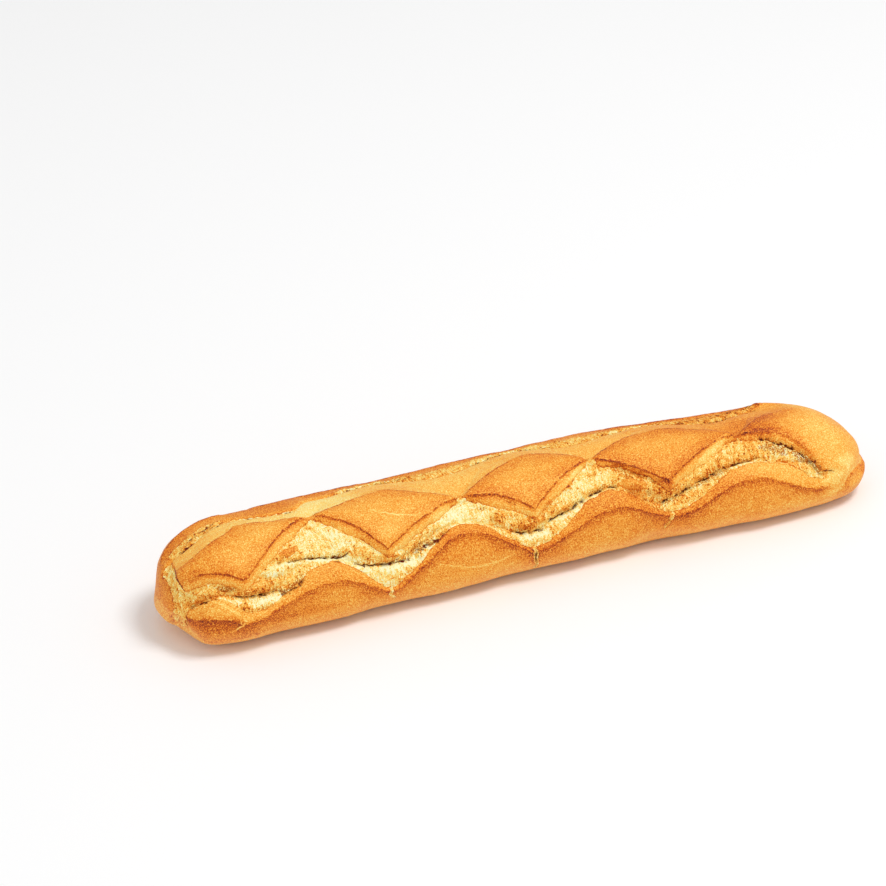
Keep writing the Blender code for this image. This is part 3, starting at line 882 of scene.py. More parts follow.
@dataclass
class LoafSkin:
    """The finely divided skin of the whole loaf.

    Attributes:
        body: The plain body.
        lattice: The lines of the scoring.
        relief: Heights of the scoring.
        browning: How far each part is baked.
        body_rows: Rows on the straight part.
        cap_rows: Rows on each rounded end.
        far_steps: Columns between the lines on the far side.
        panel_steps: Columns across a diamond.
        near_steps: Columns between the lines on the near side.
        cuts_start: Where the scoring starts to open, and where it is open.
        cuts_end: Where it starts to close, and where it has.
        soft_edges: Where the brown line on a diamond's edge comes in, and where it weakens.
        far_crumb: How torn the far cut is, as (place, share).
        near_crumb_end: Where the torn crumb of the near cut fades out.
        end_crease: The crease round the right end, as (place, angle).
        end_cut_place: Place of the cut round the left end.
        end_cut_width: Its width.
        end_cut_drift: How far it drifts towards the pole on its way down.
        end_cut_depth: Its depth.
        end_cut_angles: Where it starts and stops.
        end_cut_deepening: Its depth above and what the side adds, as shares.
        end_cut_deepening_angles: Where the side adds it.
        cap_fullness: Place, reach and height of the fuller lower half beyond that cut.
        ridge_torn_from: Angle at which torn crumb starts on each crossing.
        crumb_border: Half the width of the change from crust to crumb.
        strand_cell: Size of the crumb's strands along the loaf and round it.
        strand_height: Their height.
        lump_cell: Size of the crumb's lumps.
        lump_height: Their height.
        hole_cell: Size of the crumb's holes.
        hole_height: Their depth.
        crease_depth: Depth of the crease.
        crease_width: Its width.
        ripple_height: Height of the crust's ripple.
        dust_angles: Where flour starts to show on the sides, and where it is full.
    """

    body: Body
    lattice: Lattice
    relief: Relief
    browning: Browning
    body_rows: int = 566
    cap_rows: int = 34
    far_steps: tuple[int, ...] = (6, 8, 5, 6, 8, 5)
    panel_steps: int = 28
    near_steps: tuple[int, ...] = (8, 24, 14, 14, 24, 5)
    cuts_start: Pair = (-0.219, -0.214)
    cuts_end: Pair = (0.170, 0.194)
    soft_edges: Pairs = ((-0.214, -0.203), (0.138, 0.150))
    far_crumb: Pairs = (
        (-0.216, 0.0), (-0.212, 1.0), (-0.184, 1.0), (-0.173, 0.0), (-0.112, 0.0), (-0.098, 1.0),
        (0.162, 1.0), (0.176, 0.0),
    )
    near_crumb_end: Pair = (0.179, 0.188)
    end_crease: Pairs = ((0.192, 101.0), (0.198, 90.0), (0.206, 84.0), (0.214, 86.0), (0.2225, 91.0))
    end_cut_place: float = -0.2177
    end_cut_width: float = 0.0024
    end_cut_drift: float = 0.0012
    end_cut_depth: float = 0.0026
    end_cut_angles: Pair = (-13.0, 160.0)
    end_cut_deepening: Pair = (0.6, 1.3)
    end_cut_deepening_angles: Pair = (95.0, 125.0)
    cap_fullness: tuple[float, float, float] = (-0.2205, 0.0035, 0.0020)
    ridge_torn_from: Pairs = ((-0.1325, 10.0), (-0.0435, 22.5), (0.041, 13.0), (0.1355, 20.0))
    crumb_border: float = 0.0011
    strand_cell: Pair = (0.0028, 0.0080)
    strand_height: float = 0.0008
    lump_cell: float = 0.0065
    lump_height: float = 0.0009
    hole_cell: float = 0.0026
    hole_height: float = 0.0006
    crease_depth: float = 0.0005
    crease_width: float = 0.0009
    ripple_height: float = 0.00016
    dust_angles: Pair = (92.0, 122.0)

    def __post_init__(self) -> None:
        """Works out the grid."""
        self.place, self.size = self.body.rows(self.body_rows, self.cap_rows)
        self.lines = self.lattice.lines(self.place)
        self.angles, self.positions = self.columns()
        self.off = np.abs(self.positions - 6.5)[None, :] + 0.0 * self.angles
        self.plain = self.body.points(self.place, self.size, self.angles)
        self.along = self.place[:, None] + 0.0 * self.angles
        self.near = (self.positions > 6.5)[None, :]
        closing = ease(*self.cuts_end, self.place)
        self.open = (ease(*self.cuts_start, self.place) * (1.0 - closing))[:, None]

    def columns(self) -> tuple[np.ndarray, np.ndarray]:
        """Places the columns between the lines, closer together beside each line.

        Returns:
            (angle of each point, rows by columns; position of each column, 6.5 in mid-diamond).
        """
        angles, positions = [], []
        for index, count in enumerate(self.far_steps + (self.panel_steps,) + self.near_steps):
            even = np.arange(count) / count
            share = 0.55 * even + 0.45 * (0.5 - 0.5 * np.cos(np.pi * even))
            gap = (self.lines[index + 1] - self.lines[index])[:, None]
            angles.append(self.lines[index][:, None] + gap * share)
            positions.append(index + share)
        return np.concatenate(angles, axis=1), np.concatenate(positions)

    def to_line(self, index: int) -> np.ndarray:
        """Metres round the section from a line of the scoring, positive towards the near base."""
        return (self.angles - self.lines[index][:, None]) * METRES_PER_DEGREE

    def row_values(self, points: Pairs) -> np.ndarray:
        """A wave line's value for each row, as a column."""
        return wave_line(points, self.place)[:, None]

    def crumb_share(self) -> np.ndarray:
        """Where torn crumb shows: below the cut faces, past the far tear, and on ridge crossings.

        Returns:
            0 on crust, 1 on crumb.
        """
        soft = self.crumb_border
        near = ease(-soft, soft, self.to_line(8)) * ease(-soft, soft, -self.to_line(10))
        far = ease(-soft, soft, -self.to_line(4)) * ease(-soft, soft, self.to_line(3))
        near = near * (1.0 - ease(*self.near_crumb_end, self.place))[:, None]
        far = far * self.row_values(self.far_crumb)
        gap = self.lattice.gap_share(self.place)[:, None]
        torn_from = self.row_values(self.ridge_torn_from) + 8.0 * (1.0 - np.clip(gap, 0.0, 1.0))
        torn = ease(-3.0, 3.0, self.angles - torn_from) * ease(-soft, soft, -self.to_line(10))
        share = np.maximum(np.maximum(near, far), ease(0.25, 0.5, gap) * torn)
        return share * ease(0.05, 0.5, self.open)

    def end_cut(self) -> np.ndarray:
        """The cut right round the left end.

        Returns:
            1 in the cut, 0 elsewhere.
        """
        wander = Noise(31).layered(self.plain / 0.010, 3) * 0.0003
        drift = self.end_cut_drift * ease(55.0, 115.0, self.angles)
        shape = bell(self.along - self.end_cut_place + drift + wander, self.end_cut_width)
        start, stop = self.end_cut_angles
        around = ease(start - 5, start + 5, self.angles) * (1 - ease(stop - 8, stop + 8, self.angles))
        return shape * around

    def full_cap(self) -> np.ndarray:
        """The fuller lower half of the left end, beyond the cut round it.

        Returns:
            Heights, a Gauss curve along the loaf that grows from nothing at the top to the base.
        """
        place, reach, rise = self.cap_fullness
        lower = (0.5 - 0.5 * np.cos(np.radians(self.angles))) ** 4
        return rise * bell(self.along - place, reach) * lower

    def build(self) -> bpy.types.Object:
        """Makes the skin.

        Returns:
            The finished object.
        """
        end_cut = self.end_cut()
        crumb = np.maximum(self.crumb_share(), ease(0.36, 0.52, end_cut))
        crags = self.crags()
        cracks = self.crack_fields()
        patches = self.patch_fields()
        shallow, deepening = self.end_cut_deepening
        depth = shallow + deepening * ease(*self.end_cut_deepening_angles, self.angles)
        height = self.scoring_height() * self.open - self.end_cut_depth * end_cut * depth
        surface = crags * crumb * (1.0 - patches["crust"]) + self.ripple()
        height += surface + patches["height"] - cracks["depth"]
        crease, shown = self.below_crease()
        height -= self.crease_depth * bell(crease, self.crease_width) * shown
        height += self.body.swelling(self.place, self.angles, self.plain[..., 2]) + self.full_cap()
        height *= np.clip(self.size * 3.0, 0.0, 1.0)[:, None]
        lean = cracks["lean"] / METRES_PER_DEGREE
        points = self.body.points(self.place, self.size, self.angles + lean)
        points = points + outward(self.plain) * height[..., None]
        pale = np.clip(np.maximum(crumb * (1.0 - patches["crust"]), cracks["margin"]), 0.0, 1.0)
        fields = {
            "bake": self.crust_levels() + patches["browning"],
            # The cracks' shade term paints the shade under each tear's lip.
            "torn": self.crumb_levels(crags, end_cut) + patches["browning"] + cracks["shade"],
            "crumb": pale,
            # Where the painted shade on each tear's floor falls, and how strong it is.
            "tear": cracks["tear"],
            "tear_line": cracks["tear_line"],
            # Stipple of painted shade beside tears, in pits and in the end cut, with brown flecks.
            "shade_and_flecks": np.maximum(cracks["shade_and_flecks"] * crumb, np.maximum(patches["dark"], 0.26 * end_cut)),
            "dust": ease(*self.dust_angles, np.abs(self.angles)),
            "white": cracks["ledge"] * pale,
            **self.rims(),
            **self.hairline_fields(),
        }
        return self.mesh(self.body.settle(points), fields)

    def scoring_height(self) -> np.ndarray:
        """The scoring's profile, with the crossings pressed in and the crust hollow under its edge.

        Returns:
            Heights above the plain body.
        """
        past_edge = np.maximum(self.to_line(7), -self.to_line(6))
        height = self.relief.profile(self.off, past_edge)
        height = np.where(self.near | (height > 0.0), height, height * self.relief.far_depth_share)
        width = np.abs(self.lines[11] - self.lines[10])[:, None]
        fill = self.relief.narrow_fill * (1.0 - ease(*self.relief.narrow_turns, width))
        height = height + fill * bell(self.positions - 10.0, 0.9)[None, :]
        for index, sign in ((11, 1.0), (2, -1.0)):
            turn = self.relief.under_edge_turn * METRES_PER_DEGREE
            below = np.maximum(self.to_line(index) * sign / turn, 0.0)
            height += self.relief.under_edge * below * np.exp(1.0 - below)
        saddle = np.clip(self.lattice.gap_share(self.place), 0.0, 1.0)[:, None]
        on_top = bell(self.positions - 6.5, 1.4)[None, :]
        return height + (self.relief.saddle - height) * saddle * on_top

    def crags(self) -> np.ndarray:
        """Torn crumb: strands that run across the cut, lumps, and small holes.

        Returns:
            Heights.
        """
        round_way = self.angles * METRES_PER_DEGREE
        strands = [self.along / self.strand_cell[0], round_way / self.strand_cell[1], 0.0 * round_way]
        height = self.strand_height * (0.35 - np.abs(Noise(41).layered(np.stack(strands, axis=-1), 3)))
        height += self.lump_height * Noise(42).layered(self.plain / self.lump_cell, 3)
        return height + self.hole_height * (0.3 - np.abs(Noise(43).layered(self.plain / self.hole_cell, 2)))

    def below_crease(self) -> tuple[np.ndarray, np.ndarray]:
        """The fine crease round the right end, where the crust under it starts.

        Returns:
            (metres below the crease, how clearly it shows from 0 to 1).
        """
        crease = np.interp(self.place, *np.array(self.end_crease).T)[:, None]
        shown = ease(self.end_crease[0][0] - 0.003, self.end_crease[0][0] + 0.003, self.place)[:, None]
        scale = METRES_PER_DEGREE * np.clip(self.size, 0.25, 1.0)[:, None]
        wander = 0.0005 * Noise(64).layered(self.plain / 0.008, 2)
        return (self.angles - crease) * scale + wander, shown * self.near

    def ripple(self) -> np.ndarray:
        """Heights of the faint ripple of crust, which fades at the board."""
        above_board = ease(0.0, self.body.base_fade, self.plain[..., 2])
        return self.ripple_height * Noise(52).layered(self.plain / 0.006, 3) * above_board

    def crack_fields(self) -> Fields:
        """All cracks together. Each band beside a crack is a Gauss curve, set off by its half width.

        Returns:
            Depth, stipple of painted shade beside them, pale margin, lean of the upper lip in metres round
            the section, paleness of the ledge below, browning of the lip that paints its shade, distance
            from the nearest crack, 1 half a width away, and how dark the painted shade in that crack is.
        """
        wander = 0.0012 * Noise(61).layered(self.plain / 0.0048, 4)
        patchy = np.clip(0.8 + 1.5 * Noise(62).layered(self.plain / 0.005, 3), 0.25, 1.2)
        names = ("depth", "shade_and_flecks", "margin", "lean", "ledge", "shade")
        fields = {name: np.zeros_like(self.angles) for name in names}
        nearest = Nearest(self.angles.shape)
        toward_base = np.where(self.near, 1.0, -1.0)
        for crack in CRACKS:
            across, strength = crack.across(self.along, self.angles)
            across = across + wander
            width = crack.half_width
            below = across * toward_base if crack.run is Run.ALONG else across
            found = {
                "depth": crack.depth * bell(across, width) * strength * np.minimum(patchy, 1.0),
                # Painted shade: stipple beside the tear, with brown flecks.
                "shade_and_flecks": strength * np.where(below < 0.0, crack.shade_and_flecks_above, crack.shade_and_flecks_below)
                * bell(np.abs(below) - 1.3 * width, 2.2 * width),
                "ledge": crack.ledge * bell(below - 2.6 * width, 2.0 * width) * strength,
                # Painted shade under the lip that overhangs the tear.
                "shade": 0.25 * crack.shade * bell(below + 2.2 * width, 2.0 * width) * strength,
            }
            if crack.margin:
                found["margin"] = bell(across, width + crack.margin) * ease(0.1, 0.6, strength)
            if crack.run is Run.ALONG:
                lean = crack.overhang * bell(below + width, width) * strength
                fields["lean"] = fields["lean"] + lean * toward_base
            for name, values in found.items():
                fields[name] = np.maximum(fields[name], values)
            # Strength of the painted shade on the tear's floor.
            nearest.add(across, width, crack.dark * patchy * strength)
        return fields | {"tear": nearest.distance, "tear_line": nearest.strength}

    def hairline_fields(self) -> Fields:
        """All fine lines in the crust together.

        Returns:
            Distance from the nearest one, 1 half a width away, and the bake level that it adds.
        """
        wander = 0.0004 * Noise(63).layered(self.plain / 0.006, 2)
        nearest = Nearest(self.angles.shape)
        for line in HAIRLINES:
            across, strength = line.across(self.along, self.angles)
            nearest.add(across + wander, line.half_width, line.browning * strength)
        return {"hair": nearest.distance, "hair_line": nearest.strength}

    def patch_fields(self) -> Fields:
        """All patches together, each with a ragged outline.

        Returns:
            Height, browning, painted shade stipple and how far crust covers the crumb.
        """
        fields = {name: np.zeros_like(self.angles) for name in ("height", "browning", "dark", "crust")}
        wander = 0.30 * Noise(71).layered(self.plain / 0.0035, 3)
        for patch in PATCHES:
            radius = patch.radius(self.along, self.angles) + wander
            inside = 1.0 - ease(0.45, 1.1, radius)
            fields["height"] += patch.height * inside
            fields["browning"] += patch.browning * (1.0 - ease(0.6, 1.15, radius))
            # Painted shade stipple in pits and under overhangs.
            fields["dark"] = np.maximum(fields["dark"], patch.dark * inside)
            fields["crust"] = np.maximum(fields["crust"], patch.crust * (1.0 - ease(0.8, 1.1, radius)))
        return fields

    def rims(self) -> Fields:
        """Where the sharp edges of the crust lie.

        Returns:
            Millimetres outside the nearest diamond's edge and below the side crust's edge, and how
            strong the brown line on each edge is, from 0 to 1.
        """
        gap = 1.0 - np.clip(self.lattice.gap_share(self.place), 0.0, 1.0)[:, None]
        shown = gap * ease(0.2, 0.6, self.open)
        soft = ease(*self.soft_edges[0], self.place) * (1.0 - 0.65 * ease(*self.soft_edges[1], self.place))
        return {
            "edge": 1000.0 * np.maximum(self.to_line(7), -self.to_line(6)),
            "edge_line": shown * soft[:, None] * np.where(self.near, 1.0, 0.6),
            "lip": 1000.0 * np.maximum(self.to_line(11), -self.to_line(2)),
            "lip_line": shown * np.where(self.near, 0.7, 0.5),
        }

    def crust_levels(self) -> np.ndarray:
        """How far the crust is baked, with painted shade, shadow and highlight worked in at some places.

        Returns:
            Levels, about 0 to 1.
        """
        brown = self.browning
        rows = (brown.panel, brown.lower_face, brown.far_band)
        panel, lower, far_band = (self.row_values(row) for row in rows)
        lower = np.where(self.near, lower, brown.far_lower_face)
        descending = np.sign(np.gradient(self.lines[7], self.place))[:, None]
        across_face = np.clip(self.off - 0.5, 0.0, 1.0)
        # Painted shade: cut faces that face -X are browner, as if lit from +X.
        face = brown.near_face + brown.face_turn * descending
        # Painted highlight along the middle of each cut face.
        face = face - brown.fold * np.sin(np.pi * across_face ** 1.4)
        # Painted shade in the groove under a diamond's edge.
        groove = bell(self.to_line(7) - brown.groove_place, brown.groove_reach) * (self.off > 0.5)
        edge = bell(np.minimum(np.abs(self.to_line(7)), np.abs(self.to_line(6))), brown.edge_reach)
        level = np.where(self.off < 0.5, panel + brown.edge * edge, face + brown.groove * groove)
        far_band = far_band + (brown.far_lower_face - far_band) * 0.8 * ease(2.4, 2.7, self.off)
        level = np.where(~self.near & (self.off > 0.5), far_band, level)
        foot = brown.face_foot * np.clip(self.off - 3.5, 0.0, 1.0) ** 2
        level = np.where(self.off > 3.5, lower + foot, level)
        below = np.maximum(np.maximum(self.to_line(11), -self.to_line(2)), 0.0)
        fading = brown.side_fading * ease(98.0, 122.0, self.angles)
        side = np.where(self.near, brown.side - fading, brown.far_side)
        fades = sum(share * bell(below, reach) for share, reach in brown.under_edge_reaches)
        # Browner just below the side crust's edge: partly its own bake, partly painted shade under the edge.
        side = side + brown.under_edge * fades
        level = np.where(self.off > 4.5, side, level)
        level = level + (brown.base - level) * ease(5.3, 6.0, self.off)
        crease, shown = self.below_crease()
        fading = np.exp(-np.maximum(crease, 0.0) / brown.below_crease_reach)
        right_end = brown.below_crease * ease(-0.0006, 0.0010, crease) * fading * shown
        right_end = right_end + brown.ends * ease(40.0, 70.0, -self.angles)
        plain = panel + np.where(self.along < 0.0, brown.ends, right_end)
        level = level + (plain - level) * (1.0 - ease(0.0, 0.6, self.open)) * (self.off < 5.3)
        level = level - brown.crease_line * bell(crease + 0.0008, 0.0007) * shown
        return level + brown.uneven * Noise(81).layered(self.plain / 0.030, 3)

    def crumb_levels(self, crags: np.ndarray, end_cut: np.ndarray) -> np.ndarray:
        """How far the torn crumb is baked: browner on its crags than in its hollows.

        Args:
            crags: Relief of the crumb.
            end_cut: The cut round the left end.

        Returns:
            Levels, about 0 to 1.
        """
        brown = self.browning
        crumb = np.where(self.near, self.row_values(brown.crumb), self.row_values(brown.far_crumb))
        browner, paler = brown.crag
        crumb = crumb + browner * np.maximum(crags, 0.0) - paler * np.maximum(-crags, 0.0)
        upper, lower = brown.end_cut
        end_level = upper + (lower - upper) * ease(30.0, 100.0, self.angles)
        crumb = crumb + (end_level - crumb) * ease(0.2, 0.6, end_cut)
        return crumb + brown.uneven * Noise(82).layered(self.plain / 0.012, 3)

    def mesh(self, points: np.ndarray, fields: Fields) -> bpy.types.Object:
        """Turns the grid into one closed mesh.

        Args:
            points: Rows by columns by three.
            fields: Values to store at each point, by name.

        Returns:
            The object, at the origin.
        """
        rows, columns = points.shape[:2]
        ends = np.array([-self.body.length / 2, self.body.length / 2])
        poles = self.body.points(ends, np.zeros(2), np.zeros((2, 1)))[:, 0]
        vertices = np.concatenate([points.reshape(-1, 3), self.body.settle(poles)])
        mesh = bpy.data.meshes.new("loaf_skin")
        mesh.from_pydata(vertices, [], grid_faces(rows, columns))
        for name, values in fields.items():
            flat = np.concatenate([values.reshape(-1), [values[0].mean(), values[-1].mean()]])
            layer = mesh.attributes.new(name, "FLOAT", "POINT")
            layer.data.foreach_set("value", flat.astype(np.float32))
        mesh.shade_smooth()
        mesh.validate()
        skin = bpy.data.objects.new("loaf_skin", mesh)
        bpy.context.scene.collection.objects.link(skin)
        return skin


def outward(points: np.ndarray) -> np.ndarray:
    """Unit normals of a grid that is closed round its columns.

    Args:
        points: Rows by columns by three.

    Returns:
        An array of the same shape.
    """
    along = np.gradient(points, axis=0)
    around = np.roll(points, -1, axis=1) - np.roll(points, 1, axis=1)
    normal = np.cross(around, along)
    return normal / np.maximum(np.linalg.norm(normal, axis=-1, keepdims=True), 1e-12)


def grid_faces(rows: int, columns: int) -> list[list[int]]:
    """Quads between neighbouring rows, and a fan of triangles to each pole.

    Args:
        rows: Number of rows.
        columns: Number of columns.

    Returns:
        Vertex numbers of each face. The two poles come after the grid.
    """
    start = np.arange(rows - 1)[:, None] * columns
    here = np.arange(columns)
    after = (here + 1) % columns
    quads = [start + here, start + after, start + columns + after, start + columns + here]
    faces = np.stack(quads, axis=-1).reshape(-1, 4).tolist()
    last = (rows - 1) * columns
    faces += np.stack([0 * here + rows * columns, after, here], axis=-1).tolist()
    faces += np.stack([0 * here + rows * columns + 1, last + here, last + after], axis=-1).tolist()
    return faces


@dataclass(frozen=True)
class CrustFinish:
    """Colours and grain of baked bread.

    Attributes:
        stops: (bake level, colour in sRGB from 0 to 255).
        dark: Colour of the painted shade at the bottom of a tear.
        shade_and_flecks: Colour of the stipple beside tears and in pits: painted shade, with brown flecks of
            the crumb.
        dust: Colour of the flour on the lower sides.
        noises: Cells in a metre, detail and stretch of the grain, the strands, the lumps, the
            specks and the streaks.
        crust_grain: Swing of the bake level from grain to grain on crust.
        crumb_grain: The same on crumb.
        grain_limit: How far a grain can brown the crust.
        mottle: Swing of the bake level over a few millimetres of crust.
        streaks: Swing of the bake level in the crust's streaks along the loaf.
        rims: Browning of each kind of line: the diamonds' edges, the side crust's, fine lines.
        strands: Swing of the bake level from strand to strand of crumb.
        whitening: How much paler the ledge below a tear is.
        specks: How much browner the crumb's specks are.
        lumps: How much browner the crumb's lumps are.
        fringe: How much browner the border between crust and crumb is.
        dusting: Cover of the flour.
        shade_and_flecks_cover: Cover of that stipple of painted shade and flecks.
        crust_roughness: Of the crust.
        crumb_roughness: Of the torn crumb.
        gloss: Specular level.
        pore_depth: Depth of the pores, in metres.
    """

    stops: Stops = (
        (0.00, (255, 250, 203)),
        (0.14, (254, 236, 148)),
        (0.30, (252, 211, 110)),
        (0.44, (249, 182, 77)),
        (0.58, (241, 148, 42)),
        (0.72, (212, 103, 24)),
        (0.86, (158, 58, 18)),
        (1.00, (98, 38, 20)),
    )
    dark: Colour = (110, 36, 16)
    shade_and_flecks: Colour = (180, 90, 26)
    dust: Colour = (250, 228, 200)
    noises: tuple[tuple[float, float, Stretch], ...] = (
        (1500.0, 1.0, (1.0, 1.0, 1.0)),
        (800.0, 2.0, (1.0, 0.3, 0.3)),
        (330.0, 3.0, (1.0, 1.0, 1.0)),
        (620.0, 3.0, (1.0, 1.0, 1.0)),
        (420.0, 2.0, (0.15, 1.0, 1.0)),
    )
    crust_grain: float = 1.10
    crumb_grain: float = 1.25
    grain_limit: float = 0.11
    mottle: float = 0.10
    streaks: float = 0.12
    rims: tuple[tuple[str, float], ...] = (("edge", 0.26), ("lip", 0.20), ("hair", 1.0))
    strands: float = 0.9
    whitening: float = 0.34
    specks: float = 0.28
    lumps: float = 0.16
    fringe: float = 0.14
    dusting: float = 0.09
    shade_and_flecks_cover: float = 0.85
    crust_roughness: float = 0.55
    crumb_roughness: float = 0.90
    gloss: float = 0.15
    pore_depth: float = 0.0005


def linear(colour: Colour) -> tuple[float, float, float, float]:
    """Turns an sRGB colour into the renderer's linear values.

    Args:
        colour: Red, green and blue from 0 to 255.

    Returns:
        Linear red, green, blue and full alpha.
    """
    share = np.array(colour) / 255.0
    value = np.where(share <= 0.04045, share / 12.92, ((share + 0.055) / 1.055) ** 2.4)
    return (*value.tolist(), 1.0)


class NodeMaker:
    """Short ways to add nodes to a material."""

    def __init__(self, name: str) -> None:
        """Makes a material with an empty node tree.

        Args:
            name: The material's name.
        """
        self.material = bpy.data.materials.new(name)
        self.material.use_nodes = True
        self.tree = self.material.node_tree
        self.shader = self.tree.nodes["Principled BSDF"]

    def link(self, value: Input, socket: Socket) -> None:
        """Feeds a socket.

        Args:
            value: An output socket, or a plain number.
            socket: The input to feed.
        """
        if isinstance(value, Socket):
            self.tree.links.new(value, socket)
        else:
            socket.default_value = value

    def attribute(self, name: str) -> Socket:
        """Reads a value stored on the mesh.

        Args:
            name: The attribute's name.

        Returns:
            Its value.
        """
        node = self.tree.nodes.new("ShaderNodeAttribute")
        node.attribute_name = name
        return node.outputs["Fac"]

    def noise(self, scale: float, detail: float, stretch: Stretch) -> Socket:
        """Noise in the object's own space.

        Args:
            scale: Cells in a metre.
            detail: Number of finer layers.
            stretch: Factor on each axis.

        Returns:
            Values about 0.5.
        """
        place = self.tree.nodes.new("ShaderNodeTexCoord").outputs["Object"]
        mapping = self.tree.nodes.new("ShaderNodeMapping")
        mapping.inputs["Scale"].default_value = stretch
        self.tree.links.new(place, mapping.inputs["Vector"])
        node = self.tree.nodes.new("ShaderNodeTexNoise")
        node.inputs["Scale"].default_value = scale
        node.inputs["Detail"].default_value = detail
        self.tree.links.new(mapping.outputs["Vector"], node.inputs["Vector"])
        return node.outputs["Fac"]

    def math(self, operation: str, first: Input, second: Input = 0.0, third: Input = 0.0) -> Socket:
        """One step of arithmetic.

        Args:
            operation: A Math node operation.
            first: First value.
            second: Second value.
            third: Third value.

        Returns:
            The result.
        """
        node = self.tree.nodes.new("ShaderNodeMath")
        node.operation = operation
        for socket, value in zip(node.inputs, (first, second, third)):
            self.link(value, socket)
        return node.outputs["Value"]

    def scaled(self, value: Input, factor: Input, base: Input = 0.0) -> Socket:
        """A value times a factor, plus a base."""
        return self.math("MULTIPLY_ADD", value, factor, base)

    def between(self, value: Input, low: float, high: float) -> Socket:
        """A smooth step.

        Args:
            value: The value to judge.
            low: Where the result is 0.
            high: Where the result is 1.

        Returns:
            From 0 to 1.
        """
        node = self.tree.nodes.new("ShaderNodeMapRange")
        node.interpolation_type = "SMOOTHSTEP"
        self.link(value, node.inputs["Value"])
        node.inputs["From Min"].default_value = low
        node.inputs["From Max"].default_value = high
        return node.outputs["Result"]

    def ramp(self, value: Input, stops: Stops) -> Socket:
        """A colour ramp.

        Args:
            value: Where on the ramp.
            stops: (place, sRGB colour) pairs.

        Returns:
            The colour.
        """
        node = self.tree.nodes.new("ShaderNodeValToRGB")
        elements = node.color_ramp.elements
        elements[0].position, elements[1].position = stops[0][0], stops[-1][0]
        elements[0].color, elements[1].color = linear(stops[0][1]), linear(stops[-1][1])
        for place, colour in stops[1:-1]:
            elements.new(place).color = linear(colour)
        self.link(value, node.inputs["Fac"])
        return node.outputs["Color"]

    def mix(self, share: Input, first: Input, second: Input) -> Socket:
        """Blends two colours.

        Args:
            share: How much of the second.
            first: First colour.
            second: Second colour.

        Returns:
            The blend.
        """
        node = self.tree.nodes.new("ShaderNodeMix")
        node.data_type = "RGBA"
        self.link(share, node.inputs["Factor"])
        self.link(first, node.inputs["A"])
        self.link(second, node.inputs["B"])
        return node.outputs["Result"]


def rim_browning(make: NodeMaker, name: str, strength: float, noise: Input) -> Socket:
    """The thin browned line on a sharp edge of the crust.

    Args:
        make: The material's nodes.
        name: Attribute with the distance from the edge in millimetres; name_line has its strength.
        strength: Extra bake level on the line.
        noise: Unevenness about 0.

    Returns:
        Extra bake level: full on the edge and gone a millimetre away.
    """
    away = make.math("ABSOLUTE", make.scaled(noise, 1.5, make.attribute(name)))
    line = make.scaled(make.between(away, 0.95, 0.10), make.attribute(name + "_line"))
    return make.scaled(make.scaled(line, make.scaled(noise, 1.6, 1.0)), strength)


def crust_material(finish: CrustFinish) -> bpy.types.Material:
    """Baked crust and torn crumb, browned by the levels stored on the mesh.

    Args:
        finish: Colours and grain.

    Returns:
        The material.
    """
    make = NodeMaker("baked_crust")
    names = ("bake", "torn", "crumb", "tear", "tear_line", "shade_and_flecks", "dust", "white")
    bake, torn, crumb, tear, tear_line, shade_and_flecks, dust, white = (make.attribute(name) for name in names)
    noises = (make.math("SUBTRACT", make.noise(*noise), 0.5) for noise in finish.noises)
    grain, strand, coarse, speck, streak = noises
    level = make.scaled(make.math("MINIMUM", grain, finish.grain_limit), finish.crust_grain, bake)
    level = make.scaled(coarse, finish.mottle, level)
    level = make.scaled(streak, finish.streaks, level)
    for name, strength in finish.rims:
        level = make.math("ADD", level, rim_browning(make, name, strength, coarse))
    inside = make.scaled(grain, finish.crumb_grain, torn)
    inside = make.scaled(strand, finish.strands, inside)
    inside = make.scaled(white, -finish.whitening, inside)
    inside = make.scaled(make.between(speck, 0.08, 0.17), finish.specks, inside)
    inside = make.scaled(make.between(coarse, 0.04, 0.16), finish.lumps, inside)
    border = make.scaled(speck, 0.9, crumb)
    fringe = make.scaled(make.between(border, 0.15, 0.40), make.between(border, 0.65, 0.45))
    crumb = make.between(border, 0.42, 0.58)
    level = make.scaled(crumb, make.math("SUBTRACT", inside, level), level)
    level = make.scaled(fringe, finish.fringe, level)
    colour = make.ramp(level, finish.stops)
    colour = make.mix(make.scaled(dust, finish.dusting), colour, linear(finish.dust))
    # Stipple of painted shade beside tears and in pits, with brown flecks of the crumb.
    stipple = make.between(make.scaled(grain, 2.6, make.scaled(shade_and_flecks, 0.75)), 0.35, 0.65)
    stipple = make.scaled(stipple, make.between(shade_and_flecks, 0.05, 0.5))
    colour = make.mix(make.scaled(stipple, finish.shade_and_flecks_cover), colour, linear(finish.shade_and_flecks))
    # Painted shade on the floor of each tear, broken into dashes.
    away = make.math("ABSOLUTE", make.scaled(speck, 5.0, tear))
    broken = make.scaled(tear_line, make.scaled(coarse, 2.4, 1.0))
    shadow = make.scaled(make.between(away, 1.0, 0.5), make.between(broken, 0.1, 0.8))
    make.link(make.mix(shadow, colour, linear(finish.dark)), make.shader.inputs["Base Color"])
    rough = finish.crumb_roughness - finish.crust_roughness
    make.link(make.scaled(crumb, rough, finish.crust_roughness), make.shader.inputs["Roughness"])
    make.shader.inputs["Specular IOR Level"].default_value = finish.gloss
    bump = make.tree.nodes.new("ShaderNodeBump")
    bump.inputs["Distance"].default_value = finish.pore_depth
    make.link(make.scaled(crumb, 0.55, 0.35), bump.inputs["Strength"])
    make.link(make.scaled(grain, 0.7, make.scaled(speck, crumb)), bump.inputs["Height"])
    make.link(bump.outputs["Normal"], make.shader.inputs["Normal"])
    return make.material


